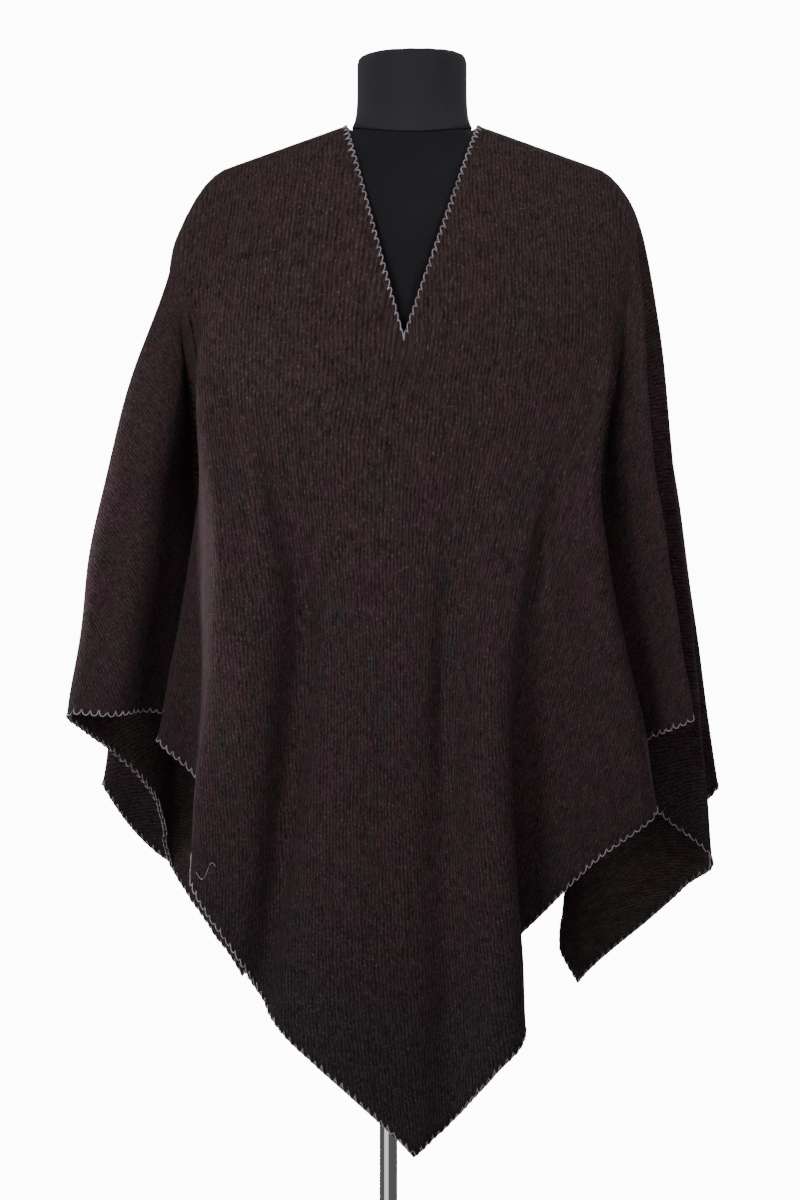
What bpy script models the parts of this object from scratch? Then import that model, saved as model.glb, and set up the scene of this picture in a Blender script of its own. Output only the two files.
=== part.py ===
"""Wool poncho, one square of twill with a V neck, hanging on a limbless dress form with a pole stand.

The frame has +Z up and the front of the poncho towards -Y. The origin is on the floor, below the
centre line of the form. The cloth is worked out from its flat cut: each fold line leaves the yoke,
where the cloth lies on the shoulders, and reaches its hem point at the length that the cut gives it.
"""

import math
from collections import namedtuple

import bpy
import numpy as np

# Driving dimensions, in metres
CLOTH_SIDE = 1.50
WALL = 0.0025
SEAT_GAP = 0.0003

# Neck opening and shoulder line of the cloth's middle surface
NECK_HALF = 0.068
NECK_Z = 1.416
SHOULDER_SLOPE = math.radians(19.5)
SHOULDER_REACH = 0.232
SHOULDER_REACH_LEFT = 0.254
TIP_START = 0.200
TIP_ROUND = 18.0
V_DROP = 0.226
V_SHIFT = -0.009
NAPE_RISE = 0.014
NAPE_TURN = math.radians(33)

# The chest and back profiles are quarter ellipses: depth from the crest, and fall to their ends
FRONT_DEPTH = 0.120
FRONT_DEPTH_TIP = 0.062
FRONT_FALL = 0.30
BACK_DEPTH = 0.108
BACK_DEPTH_TIP = 0.060
BACK_FALL = 0.26
YOKE_SQUARENESS = 0.72
CREST_ROUNDNESS = 0.8

# How the cloth leaves the yoke and where the middle of a fold line lies along its length
LEAVE_PULL = 0.55
MID_SHARE = 0.45

# How much higher the hem runs between two corners of the square than at them
HEM_RISE = 0.30

# Mesh rows of the cloth
YOKE_ROWS = 6
HANG_ROWS = 8
STEPS_PER_FOLD = 2

# Form, pole and base
FORM_SIDES = 48
NECK_TOP_Z = 1.493
NECK_SEAM_Z = 1.4135
NECK_RADIUS = 0.057
NECK_ROOT = (0.0625, 0.060, 0.052)
NECK_DIP = (0.010, 0.013)
SEAT_INNER = (0.0635, math.radians(31), math.radians(29))
SEAT_OUTER = (0.200, math.radians(64), math.radians(60))
TORSO_BOTTOM_Z = 0.800
BOARD_THICKNESS = 0.012
POLE_X = -0.0245
POLE_RADIUS = 0.0093
SOCKET_RADIUS = 0.021
SOCKET_HEIGHT = 0.055
HUB_RADIUS = 0.032
HUB_HEIGHT = 0.030
BASE_RADIUS = 0.19
BASE_THICKNESS = 0.009
TURNED_SIDES = 40

# One row for each fold line, in order round the hem. edge is the distance along the cut edge from
# the front corner, positive on the +X side: the side corners are at 1.5 and the back one at 3.
# yoke is the bearing in degrees at which the line leaves the yoke, 0 in front. mid is the plan
# place of the line part of the way down, and hem is where it ends.
Fold = namedtuple("Fold", "name edge yoke mid_x mid_y hem_x hem_y hem_z")
FOLDS = (
    Fold("front corner", 0.000, 0, 0.000, -0.150, 0.001, -0.165, 0.373),
    Fold("front soft valley", 0.085, 9, 0.036, -0.135, 0.0425, -0.148, 0.409),
    Fold("front panel", 0.150, 17, 0.068, -0.152, 0.0835, -0.170, 0.457),
    Fold("pleat ridge", 0.215, 26, 0.095, -0.150, 0.112, -0.155, 0.498),
    Fold("pleat valley", 0.310, 35, 0.108, -0.127, 0.062, -0.114, 0.545),
    Fold("pleat return", 0.405, 43, 0.130, -0.122, 0.114, -0.110, 0.592),
    Fold("right panel", 0.500, 51, 0.158, -0.111, 0.180, -0.103, 0.657),
    Fold("right front ridge", 0.620, 60, 0.189, -0.099, 0.247, -0.090, 0.712),
    Fold("right front valley", 0.710, 66, 0.184, -0.058, 0.166, -0.056, 0.738),
    Fold("right front bend", 0.765, 70, 0.192, -0.044, 0.162, -0.036, 0.752),
    Fold("right arm front", 0.850, 74, 0.214, -0.056, 0.234, -0.055, 0.780),
    Fold("right arm ridge", 0.940, 79, 0.241, -0.072, 0.281, -0.085, 0.801),
    Fold("right arm turn", 1.000, 81, 0.241, -0.052, 0.272, -0.062, 0.806),
    Fold("right arm valley", 1.060, 83, 0.214, -0.034, 0.196, -0.024, 0.791),
    Fold("right arm bend", 1.105, 84.5, 0.211, -0.022, 0.194, -0.004, 0.762),
    Fold("right side panel", 1.180, 86, 0.240, -0.020, 0.262, -0.014, 0.699),
    Fold("right side ridge", 1.285, 88, 0.272, -0.020, 0.311, -0.020, 0.656),
    Fold("right side turn", 1.330, 88.5, 0.268, -0.002, 0.288, 0.004, 0.630),
    Fold("right side inner", 1.390, 89, 0.245, 0.014, 0.253, 0.024, 0.595),
    Fold("right side corner", 1.500, 90, 0.212, 0.026, 0.175, 0.050, 0.522),
    Fold("right side return", 1.600, 91, 0.210, 0.040, 0.161, 0.090, 0.584),
    Fold("right back front", 1.720, 93, 0.240, 0.046, 0.228, 0.088, 0.645),
    Fold("right back ridge", 1.850, 96, 0.273, 0.052, 0.315, 0.060, 0.716),
    Fold("right back turn", 1.900, 98, 0.270, 0.070, 0.310, 0.085, 0.735),
    Fold("right back valley", 1.990, 102, 0.222, 0.090, 0.236, 0.126, 0.755),
    Fold("right blade panel", 2.100, 108, 0.236, 0.112, 0.285, 0.158, 0.772),
    Fold("right blade ridge", 2.200, 115, 0.240, 0.138, 0.305, 0.190, 0.765),
    Fold("right blade turn", 2.250, 119, 0.222, 0.150, 0.288, 0.212, 0.755),
    Fold("right blade valley", 2.305, 124, 0.176, 0.120, 0.180, 0.138, 0.740),
    Fold("right blade bend", 2.350, 129, 0.164, 0.127, 0.170, 0.160, 0.725),
    Fold("right rear panel", 2.430, 136, 0.170, 0.154, 0.212, 0.216, 0.697),
    Fold("right rear ridge", 2.500, 143, 0.154, 0.164, 0.200, 0.228, 0.665),
    Fold("right rear valley", 2.620, 152, 0.109, 0.122, 0.134, 0.138, 0.612),
    Fold("right rear turn", 2.670, 156, 0.095, 0.126, 0.116, 0.152, 0.588),
    Fold("back panel", 2.730, 160, 0.084, 0.146, 0.112, 0.202, 0.560),
    Fold("back ridge", 2.800, 167, 0.060, 0.158, 0.088, 0.222, 0.525),
    Fold("back valley", 2.900, 174, 0.028, 0.127, 0.040, 0.165, 0.478),
    Fold("back corner", 3.000, 180, 0.000, 0.142, 0.000, 0.195, 0.430),
    Fold("left back valley", -2.900, 187, -0.030, 0.127, -0.045, 0.162, 0.478),
    Fold("left back ridge", -2.800, 194, -0.062, 0.158, -0.092, 0.220, 0.527),
    Fold("left back panel", -2.720, 201, -0.088, 0.146, -0.118, 0.200, 0.565),
    Fold("left rear turn", -2.665, 205, -0.097, 0.126, -0.116, 0.148, 0.590),
    Fold("left rear valley", -2.610, 209, -0.111, 0.121, -0.136, 0.134, 0.614),
    Fold("left rear ridge", -2.500, 218, -0.156, 0.164, -0.198, 0.230, 0.667),
    Fold("left rear panel", -2.430, 224, -0.171, 0.154, -0.214, 0.218, 0.699),
    Fold("left blade bend", -2.355, 230, -0.164, 0.127, -0.170, 0.164, 0.726),
    Fold("left blade valley", -2.305, 235, -0.176, 0.120, -0.180, 0.142, 0.742),
    Fold("left blade turn", -2.250, 240, -0.220, 0.150, -0.284, 0.218, 0.757),
    Fold("left blade ridge", -2.200, 245, -0.240, 0.140, -0.302, 0.198, 0.767),
    Fold("left blade panel", -2.100, 252, -0.238, 0.114, -0.280, 0.168, 0.772),
    Fold("left back return", -1.990, 258, -0.223, 0.090, -0.238, 0.138, 0.757),
    Fold("left back turn", -1.910, 261, -0.274, 0.086, -0.316, 0.110, 0.738),
    Fold("left back arm ridge", -1.860, 264, -0.283, 0.064, -0.324, 0.086, 0.719),
    Fold("left back front", -1.740, 267, -0.246, 0.056, -0.273, 0.108, 0.654),
    Fold("left side return", -1.610, 269, -0.214, 0.056, -0.162, 0.110, 0.585),
    Fold("left side corner", -1.500, 270, -0.208, 0.040, -0.179, 0.060, 0.527),
    Fold("left side inner", -1.380, 271, -0.232, 0.030, -0.234, 0.080, 0.605),
    Fold("left side curl", -1.290, 273, -0.246, 0.019, -0.257, 0.070, 0.649),
    Fold("left side turn", -1.180, 275, -0.253, 0.002, -0.266, 0.020, 0.713),
    Fold("left side panel", -1.080, 277, -0.287, -0.014, -0.310, -0.020, 0.768),
    Fold("left arm ridge", -0.980, 279, -0.306, -0.049, -0.351, -0.070, 0.806),
    Fold("left arm cover", -0.880, 282, -0.268, -0.064, -0.308, -0.077, 0.807),
    Fold("left arm inner", -0.790, 286, -0.236, -0.038, -0.268, -0.030, 0.810),
    Fold("left trough", -0.730, 289, -0.219, -0.012, -0.214, 0.008, 0.797),
    Fold("left trough turn", -0.690, 291, -0.215, -0.025, -0.222, -0.016, 0.788),
    Fold("left side face", -0.630, 295, -0.220, -0.064, -0.260, -0.058, 0.781),
    Fold("left flank", -0.530, 301, -0.212, -0.097, -0.218, -0.062, 0.738),
    Fold("left front turn", -0.450, 307, -0.203, -0.126, -0.216, -0.112, 0.690),
    Fold("left front ridge", -0.375, 315, -0.189, -0.147, -0.221, -0.148, 0.641),
    Fold("left front panel", -0.285, 325, -0.147, -0.150, -0.177, -0.152, 0.572),
    Fold("left soft valley", -0.222, 334, -0.109, -0.137, -0.148, -0.132, 0.523),
    Fold("left soft ridge", -0.180, 341, -0.087, -0.149, -0.130, -0.156, 0.495),
    Fold("left middle panel", -0.090, 350, -0.046, -0.150, -0.066, -0.172, 0.438),
)

# One row for each ring of the torso, from the bottom up: half width and height at the sides, then
# how far the ring stands forward and back and how high it runs there, and how square it is, 2 for
# an ellipse. The rings over the shoulders come after these, from the seat under the cloth.
Section = namedtuple("Section", "name side_x side_z front_y front_z back_y back_z squareness")
TORSO = (
    Section("bottom edge", 0.140, TORSO_BOTTOM_Z, 0.092, TORSO_BOTTOM_Z, 0.100, TORSO_BOTTOM_Z, 2.2),
    Section("bottom round", 0.150, 0.809, 0.098, 0.809, 0.108, 0.809, 2.2),
    Section("hip", 0.154, 0.850, 0.101, 0.850, 0.112, 0.850, 2.2),
    Section("high hip", 0.141, 0.930, 0.096, 0.930, 0.100, 0.930, 2.2),
    Section("waist", 0.118, 1.000, 0.086, 1.000, 0.082, 1.000, 2.1),
    Section("under bust", 0.130, 1.075, 0.098, 1.070, 0.084, 1.075, 2.1),
    Section("bust", 0.146, 1.145, 0.111, 1.130, 0.092, 1.150, 2.2),
    Section("armhole", 0.160, 1.225, 0.109, 1.170, 0.094, 1.205, 2.2),
    Section("upper arm", 0.180, 1.305, 0.105, 1.200, 0.092, 1.240, 2.2),
)

# Rings of the torso under the cloth: share of the way from the neck to the shoulder tips, and how
# much lower than the seat the ring lies
SeatRing = namedtuple("SeatRing", "share sink")
SEAT_RINGS = (
    SeatRing(1.00, 0.0020),
    SeatRing(0.82, 0.0002),
    SeatRing(0.62, 0),
    SeatRing(0.42, 0),
    SeatRing(0.22, 0),
    SeatRing(0.00, 0.0012),
)

JERSEY = ("black_jersey", (0.012, 0.013, 0.017), 0.85, 0.0)
WOOL = ("brown_wool", (0.030, 0.017, 0.015), 0.95, 0.0)
CHROME = ("chrome", (0.55, 0.56, 0.58), 0.12, 1.0)
BOARD = ("black_board", (0.02, 0.02, 0.02), 0.6, 0.0)


def clear_scene():
    for item in list(bpy.data.objects):
        bpy.data.objects.remove(item)


def material(spec):
    name, colour, roughness, metallic = spec
    found = bpy.data.materials.get(name)
    if found:
        return found
    made = bpy.data.materials.new(name)
    made.use_nodes = True
    shader = made.node_tree.nodes["Principled BSDF"]
    shader.inputs["Base Color"].default_value = (*colour, 1)
    shader.inputs["Roughness"].default_value = roughness
    shader.inputs["Metallic"].default_value = metallic
    return made


def add_object(name, points, faces, finish):
    mesh = bpy.data.meshes.new(name)
    mesh.from_pydata([tuple(map(float, p)) for p in points], [], faces)
    mesh.validate()
    mesh.shade_smooth()
    mesh.set_sharp_from_angle(angle=math.radians(40))
    mesh.materials.append(material(finish))
    made = bpy.data.objects.new(name, mesh)
    bpy.context.scene.collection.objects.link(made)
    return made


def loft(name, rings, finish):
    """A closed solid through rings of the same number of points, listed from the bottom up."""
    rings = np.asarray(rings, float)
    count = rings.shape[1]
    last = (len(rings) - 1) * count
    points = [*rings.reshape(-1, 3), rings[0].mean(0), rings[-1].mean(0)]
    floor, lid = len(points) - 2, len(points) - 1
    faces = []
    for i in range(count):
        j = (i + 1) % count
        faces += [(row + i, row + j, row + count + j, row + count + i) for row in range(0, last, count)]
        faces.append((floor, j, i))
        faces.append((lid, last + i, last + j))
    return add_object(name, points, faces, finish)


def oval(sides, squareness=2.0):
    """Shares to the side and to the front of each point of a ring, starting in front."""
    angle = 2 * math.pi * np.arange(sides) / sides
    s, c = np.sin(angle), np.cos(angle)
    power = 2 / squareness
    return np.sign(s) * np.abs(s) ** power, np.sign(c) * np.abs(c) ** power


def circle(radius, z, centre_x=0.0):
    side, front = oval(TURNED_SIDES)
    return [(centre_x + radius * u, -radius * v, z) for u, v in zip(side, front)]


def turned(name, profile, finish, centre_x=0.0):
    """A solid turned round a vertical axis, from (radius, z) pairs listed from the bottom up."""
    return loft(name, [circle(r, z, centre_x) for r, z in profile], finish)


def turned_ring(name, profile, finish, centre_x=0.0):
    """A solid with a hole, turned from a closed profile that runs up its outside."""
    rings = [circle(r, z, centre_x) for r, z in profile]
    count = TURNED_SIDES
    faces = []
    for row in range(len(rings)):
        below, above = row * count, (row + 1) % len(rings) * count
        for i in range(count):
            j = (i + 1) % count
            faces.append((below + i, below + j, above + j, above + i))
    return add_object(name, [p for ring in rings for p in ring], faces, finish)


def crest_height(reach):
    """Height of the shoulder line at a distance measured along it from the centre."""
    beyond = np.maximum(reach - NECK_HALF, 0)
    over_tip = np.maximum(reach - TIP_START, 0)
    return NECK_Z - beyond * math.sin(SHOULDER_SLOPE) - TIP_ROUND * over_tip**2


def yoke_surface(across, turn):
    """Where the cloth lies on the shoulders. turn is the angle over the crest, positive in front."""
    across, turn = np.broadcast_arrays(across, turn)
    reach = np.abs(across)
    beyond = np.maximum(reach - NECK_HALF, 0)
    x = np.sign(across) * (np.minimum(reach, NECK_HALF) + beyond * math.cos(SHOULDER_SLOPE))
    share = np.clip(reach / SHOULDER_REACH, 0, 1) ** 2
    in_front = turn >= 0
    depth = np.where(
        in_front,
        FRONT_DEPTH + (FRONT_DEPTH_TIP - FRONT_DEPTH) * share,
        BACK_DEPTH + (BACK_DEPTH_TIP - BACK_DEPTH) * share,
    )
    fall = np.where(in_front, FRONT_FALL, BACK_FALL)
    nape = np.where(in_front, 0, NAPE_RISE * np.clip(1 - (reach / NECK_HALF) ** 2, 0, 1) * np.sin(-turn))
    y = -depth * np.sign(turn) * np.abs(np.sin(turn)) ** CREST_ROUNDNESS
    z = crest_height(reach) + nape - fall * (1 - np.cos(turn))
    return np.stack([x, y, z], axis=-1)


def yoke_edge(bearing):
    """Across and turn of the yoke's outer edge, where the folds begin."""
    s, c = np.sin(bearing), np.cos(bearing)
    reach = np.where(s < 0, SHOULDER_REACH_LEFT, SHOULDER_REACH)
    across = reach * np.sign(s) * np.abs(s) ** YOKE_SQUARENESS
    turn = math.pi / 2 * np.sign(c) * np.abs(c) ** YOKE_SQUARENESS
    return across, turn


def neck_edge(bearing):
    """Across and turn of the neck opening: a V in front and a shallow curve behind."""
    s, c = np.sin(bearing), np.cos(bearing)
    drop = V_DROP * (1 - np.abs(s))
    front_turn = np.arccos(1 - drop / FRONT_FALL)
    across_front = NECK_HALF * s + V_SHIFT * (1 - np.abs(s))
    return (
        np.where(c >= 0, across_front, NECK_HALF * s),
        np.where(c >= 0, front_turn, -NAPE_TURN * np.abs(c) ** 1.5),
    )


def through_rows(values, steps):
    """A closed Catmull-Rom curve through the rows, with that many steps between two of them."""
    v = np.asarray(values, float)
    before, after, far = np.roll(v, 1, 0), np.roll(v, -1, 0), np.roll(v, -2, 0)
    t = (np.arange(steps) / steps)[None, :, None]
    a, b, c, d = (k[:, None, :] for k in (before, v, after, far))
    curve = b + 0.5 * t * (c - a + t * (2 * a - 5 * b + 4 * c - d + t * (3 * (b - c) + d - a)))
    return curve.reshape(-1, v.shape[1])


def turns_on(values, whole):
    """The same readings without the jump where a full turn starts again."""
    steps = np.diff(values)
    jumps = np.where(steps < -whole / 2, whole, 0).cumsum()
    return values + np.concatenate([[0], jumps])


def hem_rise(edge):
    """The part of the hem's height that has a corner in it at each corner of the square."""
    return HEM_RISE * np.abs(np.sin(np.pi * edge / CLOTH_SIDE))


def fold_readings(steps):
    """Edge, bearing, mid and hem places of each fold line, and of the lines between them."""
    rows = np.array([fold[1:] for fold in FOLDS], float)
    rows[:, -1] -= hem_rise(rows[:, 0])
    whole = np.array((4 * CLOTH_SIDE, 360.0))
    rows[:, 0] = turns_on(rows[:, 0], whole[0])
    # A reading that grows by a full turn is interpolated as its difference from an even growth
    rows[:, :2] -= np.arange(len(rows))[:, None] / len(rows) * whole
    curved = through_rows(rows, steps)
    curved[:, :2] += np.arange(len(curved))[:, None] / len(curved) * whole
    edge = curved[:, 0]
    curved[:, -1] += hem_rise(edge)
    return edge, np.radians(curved[:, 1]), curved[:, 2:4], curved[:, 4:7]


def hang(start, leave, mid, hem, rows):
    """Fold lines that leave the yoke smoothly, pass the middle and end at the hem."""
    drop = start[:, 2] - hem[:, 2]
    middle = np.column_stack([mid, start[:, 2] - drop * MID_SHARE])
    pull = leave * (drop * LEAVE_PULL)[:, None]
    through = hem - start
    end = (hem - middle) / (1 - MID_SHARE)
    lines = []
    for share in np.arange(1, rows + 1) / rows:
        if share <= MID_SHARE:
            t, a, b = share / MID_SHARE, start, middle
            ta, tb = pull * MID_SHARE, through * MID_SHARE
        else:
            t, a, b = (share - MID_SHARE) / (1 - MID_SHARE), middle, hem
            ta, tb = through * (1 - MID_SHARE), end * (1 - MID_SHARE)
        lines.append(
            (2 * t**3 - 3 * t**2 + 1) * a + (t**3 - 2 * t**2 + t) * ta
            + (3 * t**2 - 2 * t**3) * b + (t**3 - t**2) * tb
        )
    return lines


def cloth_surface(steps=STEPS_PER_FOLD, yoke_rows=YOKE_ROWS, hang_rows=HANG_ROWS):
    """Rows of points of the cloth's middle surface, from the neck to the hem."""
    edge, bearing, mid, hem = fold_readings(steps)
    inner_across, inner_turn = neck_edge(bearing)
    outer_across, outer_turn = yoke_edge(bearing)
    rows = []
    for share in np.arange(yoke_rows + 1) / yoke_rows:
        rows.append(
            yoke_surface(
                inner_across + (outer_across - inner_across) * share,
                inner_turn + (outer_turn - inner_turn) * share,
            )
        )
    start = rows[-1]
    leave = start - yoke_surface(
        inner_across + (outer_across - inner_across) * 0.97,
        inner_turn + (outer_turn - inner_turn) * 0.97,
    )
    leave /= np.linalg.norm(leave, axis=1)[:, None]
    rows += hang(start, leave, mid, hem, hang_rows)
    return np.array(rows)


def normals_of(grid):
    """Outward normals of a grid of rows that close round the body."""
    around = np.roll(grid, -1, 1) - np.roll(grid, 1, 1)
    down = np.gradient(grid, axis=0)
    normal = np.cross(down, around)
    normal /= np.linalg.norm(normal, axis=2)[..., None]
    return normal


def build_cloth():
    middle = cloth_surface()
    offset = normals_of(middle) * WALL / 2
    rows, count = middle.shape[:2]
    points = np.concatenate([(middle + offset).reshape(-1, 3), (middle - offset).reshape(-1, 3)])
    inside = rows * count
    faces = []
    for row in range(rows - 1):
        for i in range(count):
            a, b = row * count + i, row * count + (i + 1) % count
            c, d = a + count, b + count
            faces.append((a, c, d, b))
            faces.append((inside + a, inside + b, inside + d, inside + c))
    last = (rows - 1) * count
    for i in range(count):
        j = (i + 1) % count
        faces.append((i, j, inside + j, inside + i))
        faces.append((last + j, last + i, inside + last + i, inside + last + j))
    return add_object("cloth", points, faces, WOOL)


def torso_ring(section):
    """A ring whose height may differ between the sides, the front and the back."""
    side, front = oval(FORM_SIDES, section.squareness)
    share = front**2
    depth = np.where(front >= 0, section.front_y, section.back_y)
    rise = np.where(front >= 0, section.front_z, section.back_z) - section.side_z
    return np.stack([section.side_x * side, -depth * front, section.side_z + rise * share], axis=-1)


def seat_ring(share, sink):
    """A ring of the form just under the cloth, from the neck root at 0 to the shoulder tips at 1."""
    angle = 2 * math.pi * np.arange(FORM_SIDES) / FORM_SIDES
    s, c = np.sin(angle), np.cos(angle)
    round_power = 1 + (YOKE_SQUARENESS - 1) * share
    reach, front, back = (a + (b - a) * share for a, b in zip(SEAT_INNER, SEAT_OUTER))
    across = reach * np.sign(s) * np.abs(s) ** round_power
    turn = np.where(c >= 0, front, back) * np.sign(c) * np.abs(c) ** round_power
    step = 0.001
    here = yoke_surface(across, turn)
    over = yoke_surface(across, turn + step) - yoke_surface(across, turn - step)
    along = yoke_surface(across + step, turn) - yoke_surface(across - step, turn)
    outward = np.cross(over, along)
    outward /= np.linalg.norm(outward, axis=1)[:, None]
    outward *= np.sign(outward[:, 2:3])
    under = WALL / 2 + SEAT_GAP + sink + 0.006 * np.abs(c) * (0.4 + share)
    return here - outward * under[:, None]


def neck_ring(share, z, dip=0.0):
    """A ring of the neck, from its root at 0 to its round upper part at 1."""
    side, front = oval(FORM_SIDES)
    half, forward, behind = (a + (NECK_RADIUS - a) * share for a in NECK_ROOT)
    depth = np.where(front >= 0, forward, behind)
    lower = np.where(front >= 0, NECK_DIP[0], NECK_DIP[1]) * front**2 * dip
    return np.stack([half * side, -depth * front, z - lower], axis=-1)


def build_form():
    body = [torso_ring(section) for section in TORSO]
    body += [seat_ring(*row) for row in SEAT_RINGS]
    body.append(neck_ring(0, NECK_SEAM_Z, 1.0))
    loft("form_torso", body, JERSEY)

    foot = NECK_SEAM_Z + SEAT_GAP
    rise = NECK_TOP_Z - foot
    neck = [neck_ring(share, foot + rise * height, dip) for share, height, dip in
            ((0, 0, 1), (0.55, 0.12, 0.8), (0.9, 0.30, 0.4), (1, 0.5, 0), (1, 0.88, 0))]
    for radius, drop in ((0.0555, 0.005), (0.0515, 0.0015), (0.046, 0)):
        neck.append([(p[0] * radius / NECK_RADIUS, p[1] * radius / NECK_RADIUS, NECK_TOP_Z - drop)
                     for p in neck_ring(1, 0)])
    loft("form_neck", neck, JERSEY)

    top = TORSO_BOTTOM_Z - SEAT_GAP
    side, front = oval(FORM_SIDES, 2.2)
    depth = np.where(front >= 0, 0.089, 0.097)
    outline = np.stack([0.136 * side, -depth * front], axis=-1)
    loft("form_bottom", [[(x, y, z) for x, y in outline] for z in (top - BOARD_THICKNESS, top)], BOARD)
    return top - BOARD_THICKNESS


def build_stand(board_z):
    socket_top = board_z - SEAT_GAP
    socket_foot = socket_top - SOCKET_HEIGHT
    bore = POLE_RADIUS + SEAT_GAP
    turned_ring(
        "pole_socket",
        ((bore, socket_foot), (SOCKET_RADIUS * 0.8, socket_foot), (SOCKET_RADIUS, socket_foot + 0.004),
         (SOCKET_RADIUS, socket_top - 0.010), (SOCKET_RADIUS * 1.9, socket_top - 0.004),
         (SOCKET_RADIUS * 1.9, socket_top), (bore, socket_top)),
        BOARD, POLE_X,
    )
    turned(
        "pole",
        ((POLE_RADIUS, BASE_THICKNESS + SEAT_GAP), (POLE_RADIUS, socket_top)),
        CHROME, POLE_X,
    )
    foot = BASE_THICKNESS + SEAT_GAP
    turned_ring(
        "base_hub",
        ((bore, foot), (HUB_RADIUS, foot), (HUB_RADIUS * 0.95, foot + 0.006),
         (HUB_RADIUS * 0.55, foot + HUB_HEIGHT * 0.5), (HUB_RADIUS * 0.45, foot + HUB_HEIGHT),
         (bore, foot + HUB_HEIGHT)),
        CHROME, POLE_X,
    )
    edge = 0.002
    turned(
        "base_plate",
        ((BASE_RADIUS - edge, 0), (BASE_RADIUS, edge), (BASE_RADIUS, BASE_THICKNESS - edge),
         (BASE_RADIUS - edge, BASE_THICKNESS)),
        CHROME, POLE_X,
    )


def main():
    clear_scene()
    build_cloth()
    build_stand(build_form())


main()
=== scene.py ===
"""Wool poncho on a dress form: the cloth with its folds, edging and nap, the form and its stand.

Each piece has an operator of its own and a group of settings, listed in the sidebar's Poncho tab.
"""

import functools
import math
from collections import namedtuple

import bpy
import numpy as np
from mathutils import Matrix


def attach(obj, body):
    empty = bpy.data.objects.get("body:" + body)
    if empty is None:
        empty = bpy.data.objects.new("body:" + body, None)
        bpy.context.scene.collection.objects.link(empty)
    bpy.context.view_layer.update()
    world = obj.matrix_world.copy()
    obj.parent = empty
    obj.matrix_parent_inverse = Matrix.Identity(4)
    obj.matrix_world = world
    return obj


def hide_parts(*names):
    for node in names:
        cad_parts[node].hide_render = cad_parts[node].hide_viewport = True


bl_info = {
    "name": "Wool poncho on a dress form",
    "version": (1, 0, 0),
    "blender": (4, 5, 0),
    "location": "3D View > Sidebar > Poncho",
    "description": "Builds a square wool poncho, its edging and nap, and the form that it hangs on",
    "category": "Object",
}

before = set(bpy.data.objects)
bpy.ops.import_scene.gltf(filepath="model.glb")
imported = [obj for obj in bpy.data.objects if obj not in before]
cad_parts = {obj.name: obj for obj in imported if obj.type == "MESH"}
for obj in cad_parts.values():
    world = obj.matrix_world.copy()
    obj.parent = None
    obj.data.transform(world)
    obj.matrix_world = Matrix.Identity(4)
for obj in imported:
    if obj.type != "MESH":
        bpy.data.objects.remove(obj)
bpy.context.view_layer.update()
BODY = "root"

# Shape of the cloth where it lies on the form, in metres
CLOTH_SIDE = 1.50
NECK_HALF = 0.068
NECK_Z = 1.416
SHOULDER_SLOPE = math.radians(19.5)
SHOULDER_REACH = 0.232
SHOULDER_REACH_LEFT = 0.254
TIP_START = 0.200
TIP_ROUND = 18.0
V_DROP = 0.226
V_SHIFT = -0.009
NAPE_RISE = 0.014
NAPE_TURN = math.radians(33)
FRONT_DEPTH = 0.120
FRONT_DEPTH_TIP = 0.062
FRONT_FALL = 0.30
BACK_DEPTH = 0.108
BACK_DEPTH_TIP = 0.060
BACK_FALL = 0.26
YOKE_SQUARENESS = 0.72
CREST_ROUNDNESS = 0.8
LEAVE_PULL = 0.55
MID_SHARE = 0.45
HEM_RISE = 0.30

# Steps between two fold lines, rows of the yoke and rows below it
FULL_MESH = (6, 18, 62)

# Points of one scallop, sides of the thread and where a loose end of it hangs
STITCH_DOTS = 8
THREAD_SIDES = 5
LOOSE_END = (-0.190, -0.150, 0.662)

# Where the form stands
NECK_TOP_Z = 1.493
NECK_SEAM_Z = 1.4135
NECK_RADIUS = 0.057
NECK_ROOT = (0.0625, 0.060, 0.052)
NECK_DIP = (0.010, 0.013)
SEAT_INNER = (0.0635, math.radians(31), math.radians(29))
SEAT_OUTER = (0.200, math.radians(64), math.radians(60))
SEAT_GAP = 0.0003
TORSO_BOTTOM_Z = 0.800
FORM_SIDES = 96
# At the neck's seam each cover is rounded off by this much, and its hidden edge is drawn in by
# this share of its width
SEAM_TUCK = 0.0012
TUCKED = 0.975

# Where the camera stands to the side, and its lens: the picture is so many pixels high, with so
# many to a metre at the form
CAMERA_X = -0.0125
PIXELS_PER_METRE = 961.5
PICTURE_PIXELS = 1200
SENSOR = 36.0

# The lamps. spread is in degrees, and each lamp is turned from its place to its aim.
Lamp = namedtuple("Lamp", "name power size spread place aim")
LAMPS = (
    Lamp("key light", 38, 0.8, 180, (-1.7, -2.3, 2.7), (0, 0, 1.05)),
    Lamp("fill light", 7, 1.6, 180, (1.9, -2.8, 1.7), (0, 0, 0.95)),
    Lamp("shoulder light", 0.9, 0.5, 34, (1.6, -2.1, 2.7), (0.10, 0, 1.38)),
    Lamp("floor light", 6, 1.4, 180, (-0.8, -1.4, 0.05), (-0.1, 0.1, 0.85)),
    Lamp("left rim light", 0.45, 0.3, 16, (-2.1, 0.25, 1.0), (-0.34, -0.06, 0.97)),
    Lamp("left back light", 16, 0.8, 180, (-2.3, 1.6, 1.2), (0, 0, 0.9)),
    Lamp("right back light", 13, 0.8, 180, (2.3, 1.5, 1.3), (0, 0, 0.95)),
    Lamp("back light", 30, 1.6, 180, (0.5, 2.9, 2.3), (0, 0, 1.0)),
)
AIR_LIGHT = 0.12

# The paper dish: radius of its floor, of the turn up and height of its wall, and its facets
DISH_REACH = 9.0
DISH_TURN = 1.2
DISH_RISE = 6.5
DISH_SIDES = 64
DISH_STEPS = 8
DISH_DROP = 0.0005

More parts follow.
